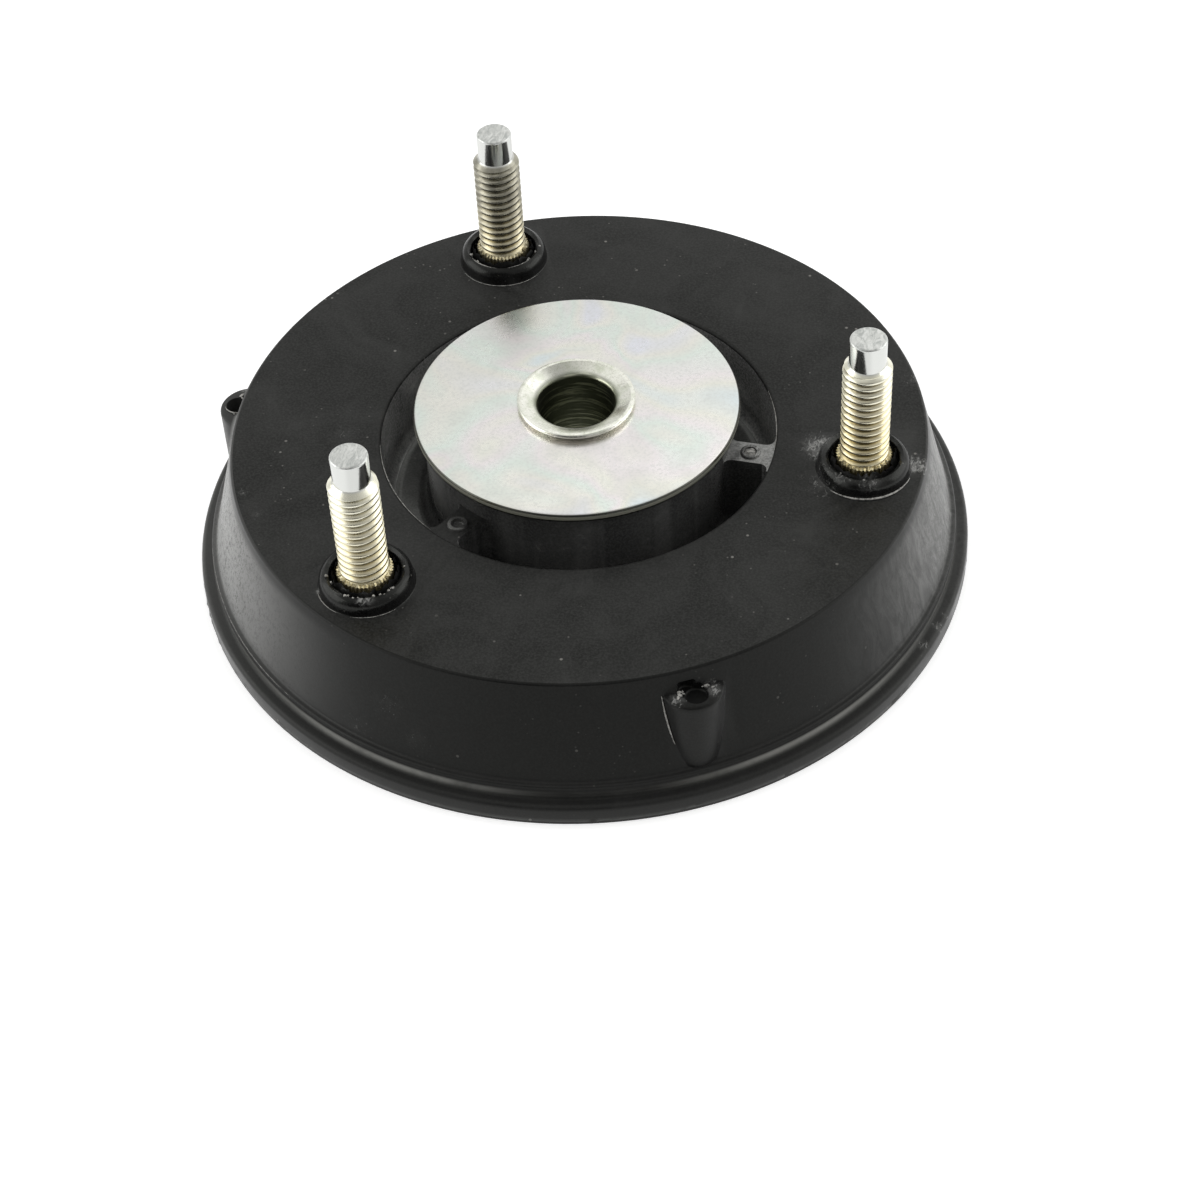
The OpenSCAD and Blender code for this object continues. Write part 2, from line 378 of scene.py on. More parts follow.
class Flow:
    """An output of a shader node that takes part in sums."""

    def __init__(self, brew: "Brew", socket: bpy.types.NodeSocket) -> None:
        """Keeps the node tree and its output socket."""
        self.brew = brew
        self.socket = socket

    def _sum(self, operation: str, first: "Flow | float", second: "Flow | float") -> "Flow":
        """Adds a Math node with a left and a right side."""
        return self.brew.node("ShaderNodeMath", {"operation": operation}, {0: first, 1: second})

    def __add__(self, other: "Flow | float") -> "Flow":
        """Gives self + other."""
        return self._sum("ADD", self, other)

    def __radd__(self, other: float) -> "Flow":
        """Gives other + self."""
        return self._sum("ADD", other, self)

    def __sub__(self, other: "Flow | float") -> "Flow":
        """Gives self - other."""
        return self._sum("SUBTRACT", self, other)

    def __rsub__(self, other: float) -> "Flow":
        """Gives other - self."""
        return self._sum("SUBTRACT", other, self)

    def __mul__(self, other: "Flow | float") -> "Flow":
        """Gives self * other."""
        return self._sum("MULTIPLY", self, other)

    def __rmul__(self, other: float) -> "Flow":
        """Gives other * self."""
        return self._sum("MULTIPLY", other, self)

    def __truediv__(self, other: "Flow | float") -> "Flow":
        """Gives self / other."""
        return self._sum("DIVIDE", self, other)

    def __rtruediv__(self, other: float) -> "Flow":
        """Gives other / self."""
        return self._sum("DIVIDE", other, self)

    def most(self, other: "Flow | float") -> "Flow":
        """Gives the larger of two values."""
        return self._sum("MAXIMUM", self, other)

    def size(self) -> "Flow":
        """Gives the value without its sign."""
        return self._sum("ABSOLUTE", self, 0.0)

    def root(self) -> "Flow":
        """Gives the square root of the value."""
        return self._sum("SQRT", self, 0.0)

    def span(self, low: float, high: float) -> "Flow":
        """Fades from 0 to 1 between two values, or from 1 to 0 if high is the smaller.

        Args:
            low: Value that gives 0.
            high: Value that gives 1.

        Returns:
            The fade.
        """
        start, end = (low, high) if low < high else (high, low)
        fade = self.brew.node(
            "ShaderNodeMapRange", {"interpolation_type": "SMOOTHSTEP"},
            {0: self, 1: start, 2: end, 3: 0.0, 4: 1.0},
        )
        return fade if low < high else 1.0 - fade


class Brew:
    """Mixes the nodes of one material or world."""

    def __init__(self, tree: bpy.types.NodeTree) -> None:
        """Starts with an empty node tree."""
        self.tree = tree
        tree.nodes.clear()

    def node(
        self,
        kind: str,
        settings: dict[str, object] | None = None,
        sockets: dict[str | int, object] | None = None,
        out: str | int = 0,
    ) -> Flow:
        """Adds a node.

        Args:
            kind: Blender's name of the node.
            settings: Properties, set first; "stops" fills a colour ramp.
            sockets: Values or flows of the inputs.
            out: Output to return.

        Returns:
            The chosen output.
        """
        made = self.tree.nodes.new(kind)
        for key, value in (settings or {}).items():
            if key == "stops":
                self._fill_ramp(made.color_ramp, value)
            else:
                setattr(made, key, value)
        for key, value in (sockets or {}).items():
            if isinstance(value, Flow):
                self.tree.links.new(value.socket, made.inputs[key])
            else:
                made.inputs[key].default_value = value
        outputs = made.outputs
        return Flow(self, outputs[out] if outputs else None)

    @staticmethod
    def _fill_ramp(ramp: bpy.types.ColorRamp, stops: Stops) -> None:
        """Sets the stops of a colour ramp.

        Args:
            ramp: Ramp to set.
            stops: Positions and colours.
        """
        while len(ramp.elements) < len(stops):
            ramp.elements.new(0.5)
        for element, (position, colour) in zip(ramp.elements, stops):
            element.position = position
            element.color = (*colour, 1.0)

    def place(self) -> Flow:
        """Gives the position on the mount, in metres."""
        return self.node("ShaderNodeTexCoord", out="Object")

    def spot(self) -> Flow:
        """Gives the position on the mount, in millimetres."""
        sockets = {0: self.place(), "Scale": 1.0 / MM}
        return self.node("ShaderNodeVectorMath", {"operation": "SCALE"}, sockets)

    def facing(self, way: Flow, heading_to: Vector) -> Flow:
        """Gives how far a direction points along a heading, from -1 to 1."""
        sockets = {0: way, 1: heading_to}
        return self.node("ShaderNodeVectorMath", {"operation": "DOT_PRODUCT"}, sockets, out="Value")

    def parts(self) -> tuple[Flow, Flow, Flow]:
        """Gives the position split into X, Y and Z, in millimetres."""
        split = self.node("ShaderNodeSeparateXYZ", sockets={0: self.spot()})
        outputs = split.socket.node.outputs
        return Flow(self, outputs[0]), Flow(self, outputs[1]), Flow(self, outputs[2])

    def radius(self) -> Flow:
        """Gives the distance from the sleeve's axis, in millimetres."""
        x, y, _ = self.parts()
        return (x * x + y * y).root()

    def along(self, angle: float) -> Flow:
        """Gives the distance from the axis along a heading in radians, in millimetres."""
        x, y, _ = self.parts()
        return x * math.cos(angle) + y * math.sin(angle)

    def noise(
        self, size: float, detail: float = 2.0, rough: float = 0.5,
        stretch: tuple[float, float, float] = (1.0, 1.0, 1.0), warp: float = 0.0,
    ) -> Flow:
        """Adds cloudy noise.

        Args:
            size: Size of a cloud, in millimetres.
            detail: Finer layers.
            rough: Strength of the finer layers.
            stretch: Squeeze of the pattern along each axis.
            warp: Distortion of the clouds.

        Returns:
            Noise from 0 to 1.
        """
        spot = self.node("ShaderNodeMapping", sockets={"Vector": self.place(), "Scale": stretch})
        return self.node("ShaderNodeTexNoise", sockets={
            "Vector": spot, "Scale": 1.0 / (size * MM), "Detail": detail, "Roughness": rough,
            "Distortion": warp,
        })

    def specks(self, pitch: float, reach: float) -> Flow:
        """Scatters round specks at a pitch in millimetres, each with a reach as a share of it."""
        sockets = {"Vector": self.place(), "Scale": 1.0 / (pitch * MM)}
        return self.node("ShaderNodeTexVoronoi", sockets=sockets).span(reach, reach * 0.5)

    def blend(self, share: "Flow | float", first: "Flow | Colour", second: "Flow | Colour") -> Flow:
        """Mixes two colours by the share of the second."""
        ends = [c if isinstance(c, Flow) else (*c, 1.0) for c in (first, second)]
        return self.node("ShaderNodeMix", {"data_type": "RGBA"}, {0: share, 6: ends[0], 7: ends[1]}, out=2)

    def ramp(self, value: Flow, stops: Stops) -> Flow:
        """Colours a value by the stops of a ramp."""
        return self.node("ShaderNodeValToRGB", {"stops": stops}, {0: value})

    def bump(self, height: Flow, depth: float, under: Flow | None = None) -> Flow:
        """Turns a height into a bumped normal.

        Args:
            height: Height from 0 to 1.
            depth: Real height of 1, in millimetres.
            under: Normal to bump on top of.

        Returns:
            The normal.
        """
        sockets: dict[str | int, object] = {"Height": height, "Distance": depth * MM, "Strength": 1.0}
        if under is not None:
            sockets["Normal"] = under
        return self.node("ShaderNodeBump", sockets=sockets)

    def coat_of(self, **sockets: object) -> None:
        """Ends a material in one shader.

        Args:
            sockets: Inputs of the shader, with _ for a space.
        """
        named = {key.replace("_", " "): value for key, value in sockets.items()}
        shader = self.node("ShaderNodeBsdfPrincipled", sockets=named)
        self.node("ShaderNodeOutputMaterial", sockets={"Surface": shader})


@dataclass(frozen=True)
class Finish:
    """A finish with its own material."""

    name: str

    def material(self) -> bpy.types.Material:
        """Makes the material.

        Returns:
            The finished material.
        """
        made = bpy.data.materials.new(self.name)
        made.use_nodes = True
        self.mix(Brew(made.node_tree))
        return made

    def mix(self, brew: Brew) -> None:
        """Fills the material's empty node tree; each finish has its own way."""
        raise NotImplementedError


@dataclass(frozen=True)
class Scuff:
    """A worn, dusty place: its middle, reach and strength, in millimetres."""

    x: float
    y: float
    reach: float
    share: float
    z: float = 29.6


SCUFFS = (
    # Flakes on the lugs.
    Scuff(35.8, -66.0, 2.8, 0.9, 25.0),
    Scuff(41.9, -62.2, 3.0, 0.9, 25.4),
    Scuff(-75.0, 3.0, 1.8, 0.9, 25.0),
    # The worn gate ring.
    Scuff(37.6, 0.0, 4.8, 1.0, 29.3),
    # Rubbed places on the skirt's front.
    Scuff(-20.8, -72.5, 6.5, 0.22, 18.0),
    Scuff(-27.8, -72.4, 5.5, 0.22, 9.8),
    Scuff(-14.7, -75.5, 5.0, 0.22, 12.4),
    # Chips along the lip.
    Scuff(79.7, -14.2, 2.0, 0.9, 3.6),
    Scuff(79.0, -17.7, 2.4, 0.9, 3.8),
    Scuff(77.0, -23.4, 2.2, 0.8, 4.3),
    # Round the right-hand collar.
    Scuff(70.6, 2.6, 5.0, 1.0),
    Scuff(50.4, 4.0, 6.5, 1.0, 30.4),
    Scuff(53.0, -6.0, 7.5, 0.5, 30.0),
    Scuff(54.0, -10.1, 1.4, 0.7),
    Scuff(62.3, -7.2, 4.4, 0.75, 33.0),
    Scuff(57.0, -7.4, 3.6, 0.7, 33.0),
    # On the top and the other collars.
    Scuff(65.5, 28.4, 3.6, 0.4),
    Scuff(-62.7, -32.1, 1.9, 0.5),
    Scuff(-57.9, -38.3, 1.8, 0.5),
    Scuff(-38.3, -56.4, 1.7, 0.8, 30.0),
    Scuff(-47.5, -10.7, 5.0, 0.3),
    Scuff(-27.7, -59.6, 3.2, 0.95, 33.2),
    Scuff(-33.0, -58.8, 2.8, 0.6, 33.2),
    Scuff(-26.0, 43.0, 4.0, 0.3),
)


@dataclass(frozen=True)
class MouldedRubber(Finish):
    """Black rubber as it leaves the mould, with dust, scuffs and a fine grain, and where set a painted
    sheen, a painted glare and a painted highlight along the step.
    """

    DUST: ClassVar[Colour] = (0.32, 0.31, 0.29)
    WORN: ClassVar[Colour] = (0.37, 0.37, 0.36)
    # Pale layer: dust, and painted grazing sheen on the skirt's sides.
    DUST_SHEEN: ClassVar[Colour] = (0.50, 0.50, 0.49)
    # Painted highlight along the step.
    STEP_HIGHLIGHT: ClassVar[Colour] = (0.33, 0.33, 0.31)
    BARE: ClassVar[Colour] = (0.012, 0.012, 0.012)
    # Painted sheen stripes and a painted glare on the hub's wall.
    SHEEN: ClassVar[Colour] = (0.30, 0.30, 0.29)
    GLARE: ClassVar[Colour] = (0.75, 0.75, 0.73)
    GREENISH: ClassVar[tuple[float, float, float, float]] = (0.98, 1.0, 0.94, 1.0)

    dark: float = 0.003
    pale: float = 0.021
    gloss: float = 0.225
    rough_low: float = 0.36
    rough_high: float = 0.54
    grain_depth: float = 0.012
    ripple_depth: float = 0.05
    dust: float = 0.6
    # Share of the pale layer, which is dust and painted grazing sheen.
    dust_sheen_share: float = 0.0
    haze: float = 0.0
    # Strength of the painted sheen stripes and the painted glare.
    painted_sheen: float = 0.0
    lip_z: float = 4.6
    # Height of the painted highlight along the step.
    highlight_z: float = 5.75
    step_z: float = 7.8
    foot_r: float = 78.1
    lean: float = 0.261

    def tone(self, lift: float, blue: float) -> Colour:
        """Gives the pale tint at a lift, with a lift of its own for blue."""
        return (self.pale * lift, self.pale * lift, self.pale * blue)

    def worn(self, brew: Brew) -> Flow:
        """Gathers the worn places into one mask.

        Args:
            brew: Node tree to use.

        Returns:
            0 on clean rubber, more where it is worn.
        """
        spot = brew.spot()
        most = None
        for mark in SCUFFS:
            far = brew.node("ShaderNodeVectorMath", {"operation": "DISTANCE"},
                            {0: spot, 1: (mark.x, mark.y, mark.z)}, out="Value")
            near = far.span(mark.reach, mark.reach * 0.15) * mark.share
            most = near if most is None else most.most(near)
        grit = brew.noise(0.8, 4.0, 0.75, (1.0, 0.5, 1.0), 1.2)
        flecks = (grit + most * 0.26).span(0.64, 0.86) * most.span(0.0, 0.2) * (most * 0.55 + 0.35)
        return flecks.most(most * most * brew.noise(2.2, 3.0, 0.6).span(0.35, 0.65) * 0.34)

    def dust_and_sheen(self, brew: Brew) -> tuple[Flow, Flow]:
        """Lays a pale layer on the skirt's sides, dust that is also painted grazing sheen, and a painted
        highlight along the step under it.

        Args:
            brew: Node tree to use.

        Returns:
            Shares of the pale layer of dust and painted sheen, and of the painted highlight.
        """
        across = brew.along(PHOTO_TURN)
        _, _, height = brew.parts()
        reach = ((across.size() - 38.0) / 37.0).most(0.0)
        brushed = brew.noise(2.8, 5.0, 0.7, (1.0, 1.0, 0.3), 1.0).span(0.3, 0.7)
        right = across.span(20.0, 60.0)
        even = 1.0 - right * (0.66 - brushed * 0.52)
        lip = height.span(self.lip_z + 0.3, self.lip_z)
        above = height.span(self.step_z - 0.3, self.step_z + 0.5)
        fade = above * (height.span(8.0, 22.0) * 0.35 + 0.65) + lip * 0.12
        fade = fade * (1.0 - height.span(26.0, 28.6) * 0.8)
        proud = brew.radius() + (height - self.step_z) * self.lean - self.foot_r
        cap = proud.span(0.2, 1.4) * (height.span(9.0, 22.0) * 0.7 + 0.3)
        dust_and_sheen = reach * reach * reach * fade * even * (1.0 - cap * 0.9) + lip * 0.03
        # Painted highlight along the step, faint at the front and strongest to either side.
        line = (height - self.highlight_z).size().span(1.1, 0.2) * (across.size().span(8.0, 36.0) * 0.9 + 0.1)
        line = line * (1.0 - across.size().span(46.0, 72.0) * 0.65)
        # A thin painted highlight band on the step's top face.
        dust_and_sheen = dust_and_sheen + (height - (self.step_z + 0.05)).size().span(0.5, 0.1) * 0.035
        return dust_and_sheen, line * (brew.noise(7.0, 3.0, 0.6).span(0.1, 0.55) * 0.5 + 0.5)

    def mix(self, brew: Brew) -> None:
        """Mixes the rubber.

        Args:
            brew: Empty node tree.
        """
        clouds = brew.noise(17.0, 4.0, 0.6, warp=0.8)
        smears = brew.noise(6.0, 3.0, 0.65, (1.0, 0.35, 1.0), 0.4)
        grain = brew.noise(0.5, 3.0, 0.7)
        ripple = brew.noise(9.0, 2.0, 0.5)
        dusty = brew.specks(4.6, 0.085) * brew.noise(21.0, 2.0).span(0.42, 0.58)
        lint = brew.specks(1.9, 0.14) * brew.noise(13.0, 3.0, 0.7).span(0.52, 0.68)
        dust = (dusty + lint * 0.55) * self.dust
        rubbed = smears.span(0.52, 0.72) * clouds.span(0.4, 0.66)
        worn = self.worn(brew)
        tint = brew.blend(clouds.span(0.3, 0.7), (self.dark,) * 3, self.tone(1.0, 0.98))
        tint = brew.blend(rubbed * 0.5, tint, self.tone(2.2, 2.15))
        tint = brew.blend(grain.span(0.35, 0.7) * 0.36, tint, self.tone(2.4, 2.35))
        rough = self.rough_low + clouds.span(0.25, 0.75) * (self.rough_high - self.rough_low)
        rough = rough + rubbed * 0.12
        height = grain
        # Painted sheen: pale upright stripes on the hub's wall.
        if self.painted_sheen:
            sheen = brew.noise(6.0, 2.0, 0.5, (1.0, 1.0, 0.06), 0.3).span(0.48, 0.66)
            tint = brew.blend(sheen * self.painted_sheen * 0.2, tint, self.SHEEN)
            upper = brew.parts()[2].span(17.0, 20.0)
            # Painted glare: a pale band on the left of the hub's upper wall, where a reflection shows.
            beside = brew.along(PHOTO_TURN).span(-26.0, -31.5) * upper * (sheen * 0.7 + 0.3)
            tint = brew.blend(beside * self.painted_sheen, tint, self.GLARE)
        # Pale layer of dust and painted grazing sheen, strongest at the sides seen from the camera.
        if self.dust_sheen_share:
            dust_and_sheen, line = self.dust_and_sheen(brew)
            patches = brew.noise(9.0, 3.0, 0.6).span(0.3, 0.52)
            scrapes = brew.noise(1.3, 4.0, 0.7, (1.0, 1.0, 0.16), 1.6).span(0.6, 0.72) * dust_and_sheen
            spots = brew.noise(0.75, 5.0, 0.8, (1.0, 1.0, 0.7), 0.8).span(0.48, 0.60)
            spots = spots * (patches * (dust_and_sheen * 0.75 + 0.05)).most(scrapes * 0.8)
            tint = brew.blend(dust_and_sheen * self.dust_sheen_share, tint, self.DUST_SHEEN)
            # Painted highlight along the step.
            tint = brew.blend(line * 0.85, tint, self.STEP_HIGHLIGHT)
            tint = brew.blend(spots, tint, self.BARE)
            rough = rough + dust_and_sheen * 0.1 + spots * 0.15
            height = grain + spots * 1.5
        tint = brew.blend(worn, tint, self.WORN)
        tint = brew.blend(dust, tint, self.DUST)
        normal = brew.bump(ripple, self.ripple_depth)
        normal = brew.bump(height, self.grain_depth, under=normal)
        brew.coat_of(
            Base_Color=tint, Roughness=rough + dust * 0.3 + worn * 0.2, Normal=normal,
            Specular_IOR_Level=self.gloss, Specular_Tint=self.GREENISH,
            Sheen_Weight=self.haze, Sheen_Roughness=0.4,
        )


@dataclass(frozen=True)
class TrimmedRubber(Finish):
    """Torn, dusty rubber of the crumbs and torn edges, and of the pale strips painted as highlight lines.
    """

    TEAR: ClassVar[Stops] = (
        (0.30, (0.06, 0.06, 0.056)), (0.42, (0.26, 0.255, 0.24)), (0.60, (0.52, 0.51, 0.48)),
    )

    def mix(self, brew: Brew) -> None:
        """Mixes the torn rubber.

        Args:
            brew: Empty node tree.
        """
        clouds = brew.noise(0.8, 3.0, 0.7)
        brew.coat_of(
            Base_Color=brew.ramp(clouds, self.TEAR), Roughness=0.5 + clouds * 0.2,
            Normal=brew.bump(brew.noise(0.25, 2.0), 0.03), Specular_IOR_Level=0.4,
        )


@dataclass(frozen=True)
class PaintedSteel(Finish):
    """Black primer on the pressed sheet, with runs and rusty chips."""

    PRIMER: ClassVar[Colour] = (0.014, 0.014, 0.015)
    PRIMER_PALE: ClassVar[Colour] = (0.028, 0.028, 0.03)
    RUN: ClassVar[Colour] = (0.05, 0.048, 0.045)
    RUST: ClassVar[Colour] = (0.18, 0.12, 0.08)

    def mix(self, brew: Brew) -> None:
        """Mixes the paint.

        Args:
            brew: Empty node tree.
        """
        clouds = brew.noise(12.0, 4.0, 0.6)
        runs = brew.noise(3.0, 3.0, 0.6, (1.0, 1.0, 0.2))
        peel = brew.noise(0.8, 2.0, 0.5)
        chips = brew.noise(2.4, 4.0, 0.7).span(0.68, 0.72) * brew.noise(30.0, 2.0).span(0.5, 0.6)
        tint = brew.blend(clouds.span(0.3, 0.7), self.PRIMER, self.PRIMER_PALE)
        tint = brew.blend(runs.span(0.55, 0.75) * 0.4, tint, self.RUN)
        tint = brew.blend(chips, tint, self.RUST)
        brew.coat_of(
            Base_Color=tint, Roughness=0.34 + clouds * 0.2 + chips * 0.3,
            Normal=brew.bump(peel - chips * 2.0, 0.02), Specular_IOR_Level=0.45,
        )


@dataclass(frozen=True)
class RainbowZinc(Finish):
    """Bright zinc plate with a faint passivated rainbow, worn and lightly scratched, with a painted dark
    reflection on its rounded top edge.
    """

    BANDS: ClassVar[Stops] = (
        (0.30, (0.72, 0.81, 0.84)), (0.39, (0.84, 0.83, 0.74)), (0.46, (0.86, 0.80, 0.81)),
        (0.53, (0.75, 0.84, 0.77)), (0.60, (0.85, 0.83, 0.76)), (0.69, (0.78, 0.79, 0.87)),
    )
    CLOUD: ClassVar[Colour] = (0.62, 0.63, 0.59)
    GRAIN: ClassVar[Colour] = (0.60, 0.61, 0.59)
    # Painted dark reflection on the rounded top edge.
    DARK_EDGE_REFLECTION: ClassVar[Colour] = (0.05, 0.05, 0.04)
    SIDE: ClassVar[Colour] = (0.25, 0.25, 0.205)
    SCRATCH: ClassVar[Colour] = (0.5, 0.5, 0.48)

    shine: Colour = (0.81, 0.825, 0.805)
    rainbow: float = 0.75
    rough: float = 0.22
    edge_r: float = 33.55

    def mix(self, brew: Brew) -> None:
        """Mixes the plate.

        Args:
            brew: Empty node tree.
        """
        bands = brew.noise(24.0, 2.0, 0.35, warp=0.8)
        clouds = brew.noise(8.0, 4.0, 0.6)
        fine = brew.noise(0.6, 3.0, 0.6)
        streaks = brew.noise(1.6, 3.0, 0.6, (1.0, 0.12, 1.0))
        scratch = brew.noise(2.2, 2.0, 0.5, (1.0, 0.03, 1.0), 0.6).span(0.70, 0.76)
        tint = brew.blend(self.rainbow, self.shine, brew.ramp(bands, self.BANDS))
        tint = brew.blend(clouds.span(0.4, 0.7) * 0.2, tint, self.CLOUD)
        tint = brew.blend(fine.span(0.42, 0.7) * 0.36, tint, self.GRAIN)
        radius = brew.radius()
        side = radius.span(self.edge_r + 0.15, self.edge_r + 0.17)
        # Painted dark reflection: a thin dark ring on the rounded top edge.
        edge = radius.span(self.edge_r - 0.16, self.edge_r - 0.08)
        tint = brew.blend(edge * 0.95, tint, self.DARK_EDGE_REFLECTION)
        tint = brew.blend(side, tint, self.SIDE)
        tint = brew.blend(scratch * 0.3, tint, self.SCRATCH)
        rough = self.rough + clouds.span(0.3, 0.7) * 0.08 + streaks * 0.06 + scratch * 0.1
        brew.coat_of(
            Base_Color=tint, Metallic=1.0 - side * 0.85, Roughness=rough + side * 0.25,
            Normal=brew.bump(fine * 0.5 + streaks * 0.6 - scratch, 0.006),
        )


@dataclass(frozen=True)
class GoldenZinc(Finish):
    """Zinc plate that turns yellow in the grooves and towards the foot of a stud, with painted shade in
    the thread grooves and on the rear stud.
    """

    BRIGHT: ClassVar[Colour] = (0.87, 0.86, 0.73)
    GOLD: ClassVar[Colour] = (0.68, 0.54, 0.22)
    # Painted shade in the thread grooves.
    GROOVE_SHADE: ClassVar[Colour] = (0.16, 0.12, 0.05)
    CLOUD: ClassVar[Colour] = (0.50, 0.48, 0.38)
    KNURL: ClassVar[Colour] = (0.34, 0.27, 0.10)
    # Painted shade on the rear stud.
    REAR_SHADE: ClassVar[Colour] = (0.20, 0.19, 0.155)
    DOG: ClassVar[Colour] = (0.69, 0.70, 0.675)
    SMEAR_PALE: ClassVar[Colour] = (0.86, 0.87, 0.85)
    SMEAR_DARK: ClassVar[Colour] = (0.36, 0.38, 0.37)

    foot: float = 34.0
    dog: float = 57.5
    tip: float = 63.3

    def mix(self, brew: Brew) -> None:
        """Mixes the plate.

        Args:
            brew: Empty node tree.
        """
        _, _, height = brew.parts()
        groove = brew.node("ShaderNodeAttribute", {"attribute_name": Studs.GROOVE}, out="Fac")
        clouds = brew.noise(3.0, 4.0, 0.6)
        fine = brew.noise(0.35, 3.0, 0.6)
        smears = brew.noise(1.0, 5.0, 0.7, (1.0, 0.4, 1.0), 1.0)
        turned = brew.noise(0.5, 2.0, 0.5, (0.15, 0.15, 1.0))
        # Share that grows towards the right-hand stud; it scales the yellowing, the painted groove shade
        # and the roughness.
        rightward = brew.along(PHOTO_TURN).span(-25.0, 35.0) * 0.6 + 0.4
        low = (height + clouds * 12.0).span(self.foot + 36.0, self.foot + 8.0)
        knurled = height.span(self.foot + 0.5, self.foot - 0.3)
        dog = height.span(self.dog - 0.5, self.dog)
        flat = height.span(self.tip - 0.25, self.tip + 0.05)
        yellowed = low * (0.4 + groove * 0.6) * (rightward * 0.45 + 0.55)
        # Painted shade in the thread grooves, stronger towards the right-hand stud.
        deep = groove * (clouds.span(0.3, 0.65) * 0.5 + 0.35) * rightward
        # Painted shade on the rear stud, deeper higher up its length.
        rear = brew.along(PHOTO_TURN + QUARTER_TURN).span(20.0, 45.0)
        rear_shade_strength = clouds.span(0.3, 0.7) * 0.3 + height.span(self.foot, 52.0) * 0.4 + 0.25
        tint = brew.blend(yellowed, self.BRIGHT, self.GOLD)
        tint = brew.blend(deep, tint, self.GROOVE_SHADE)
        tint = brew.blend(clouds.span(0.6, 0.8) * 0.3, tint, self.CLOUD)
        tint = brew.blend(knurled * (fine.span(0.35, 0.65) * 0.6 + 0.3), tint, self.KNURL)
        tint = brew.blend(rear * rear_shade_strength, tint, self.REAR_SHADE)
        tint = brew.blend(dog, tint, self.DOG)
        tint = brew.blend(flat * smears.span(0.5, 0.36) * 0.6, tint, self.SMEAR_PALE)
        tint = brew.blend(flat * smears.span(0.46, 0.64) * 0.6, tint, self.SMEAR_DARK)
        rough = 0.18 + (1.0 - dog) * (1.0 - rightward) * 0.08 + clouds * 0.1
        rough = rough + knurled * 0.2 - dog * 0.08 + flat * 0.24
        brew.coat_of(
            Base_Color=tint, Metallic=1.0, Roughness=rough,
            Normal=brew.bump(fine * 0.4 + turned * 0.4 + flat * smears * 6.0, 0.008),
        )


@dataclass(frozen=True)
class TurnedSteel(Finish):
    """Plated sleeve with a pale rim and an olive bore that keeps its tool marks."""

    RIM: ClassVar[Colour] = (0.93, 0.93, 0.85)
    RIM_DULL: ClassVar[Colour] = (0.72, 0.75, 0.63)
    SCORE: ClassVar[Colour] = (0.36, 0.35, 0.28)
    BORE_DARK: ClassVar[Colour] = (0.09, 0.10, 0.06)
    BORE_PALE: ClassVar[Colour] = (0.46, 0.47, 0.35)

    bore: float = 9.0

    def mix(self, brew: Brew) -> None:
        """Mixes the steel.

        Args:
            brew: Empty node tree.
        """
        radius = brew.radius()
        clouds = brew.noise(3.0, 4.0, 0.6)
        inside = radius.span(self.bore + 0.4, self.bore - 0.9)
        marks = brew.noise(0.6, 3.0, 0.6, (0.06, 0.06, 1.0), 0.3)
        scored = brew.noise(0.6, 4.0, 0.7, warp=0.8).span(0.5, 0.66)
        tint = brew.blend(clouds.span(0.4, 0.7), self.RIM, self.RIM_DULL)
        tint = brew.blend(scored * 0.3, tint, self.SCORE)
        dull = brew.blend(marks.span(0.52, 0.64), self.BORE_DARK, self.BORE_PALE)
        tint = brew.blend(inside * 0.92, tint, dull)
        brew.coat_of(
            Base_Color=tint, Metallic=1.0, Roughness=0.15 + clouds * 0.1 + inside * 0.15,
            Normal=brew.bump(marks * (inside * 0.9 + 0.1) + clouds * 0.2, 0.05),
        )


class Skin(Enum):
    """The faces of the rubber bell that differ in finish."""

    TOP = 0
    SKIRT = 1
    # The hub and pocket skins are paler copies of the rubber, as painted sheen.
    HUB = 2
    POCKET = 3
    COLLAR = 4


SKINS: dict[Skin, Finish] = {
    Skin.TOP: MouldedRubber("satin_rubber"),
    # The skirt's pale layer is dust plus painted grazing sheen.
    Skin.SKIRT: MouldedRubber(
        "skirt_rubber", dark=0.005, pale=0.008, gloss=0.165, rough_low=0.27, rough_high=0.4,
        dust=0.2, dust_sheen_share=0.85, haze=0.08,
    ),
    # Paler than the top's rubber, as painted sheen, with painted sheen stripes and glare.
    Skin.HUB: MouldedRubber(
        "hub_rubber_painted_sheen", dark=0.028, pale=0.05, gloss=0.5, rough_low=0.1, rough_high=0.22,
        grain_depth=0.006, ripple_depth=0.12, dust=0.25, painted_sheen=0.5,
    ),
    # Far paler than the top's rubber: painted sheen on the pocket's wall.
    Skin.POCKET: MouldedRubber(
        "pocket_rubber_painted_sheen", dark=0.12, pale=0.26, gloss=0.7, rough_low=0.08, rough_high=0.2,
        grain_depth=0.006, ripple_depth=0.15, dust=0.3,
    ),
    Skin.COLLAR: MouldedRubber(
        "collar_rubber", dark=0.003, pale=0.008, gloss=0.26, rough_low=0.1, rough_high=0.24,
        grain_depth=0.03, ripple_depth=0.2, dust=0.8,
    ),
}


def settle(piece: bpy.types.Object, slot: str, *nodes: str) -> bpy.types.Object:
    """Puts a finished piece on the mount.

    Args:
        piece: Finished piece, at the origin.
        slot: Material slot of the record; not used.
        nodes: Solids that the piece stands for.

    Returns:
        The same piece.
    """
    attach(piece, BODY)
    if nodes:
        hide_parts(*nodes)
    return piece


def coat(piece: bpy.types.Object, angle: float, finish: Finish) -> None:
    """Shades a piece smooth up to an angle in degrees and gives it one finish.

    Args:
        piece: Modelled piece.
        angle: Largest angle that is shaded smooth.
        finish: Finish of the whole piece.
    """
    Bench.smooth(piece, angle)
    piece.data.materials.clear()
    piece.data.materials.append(finish.material())


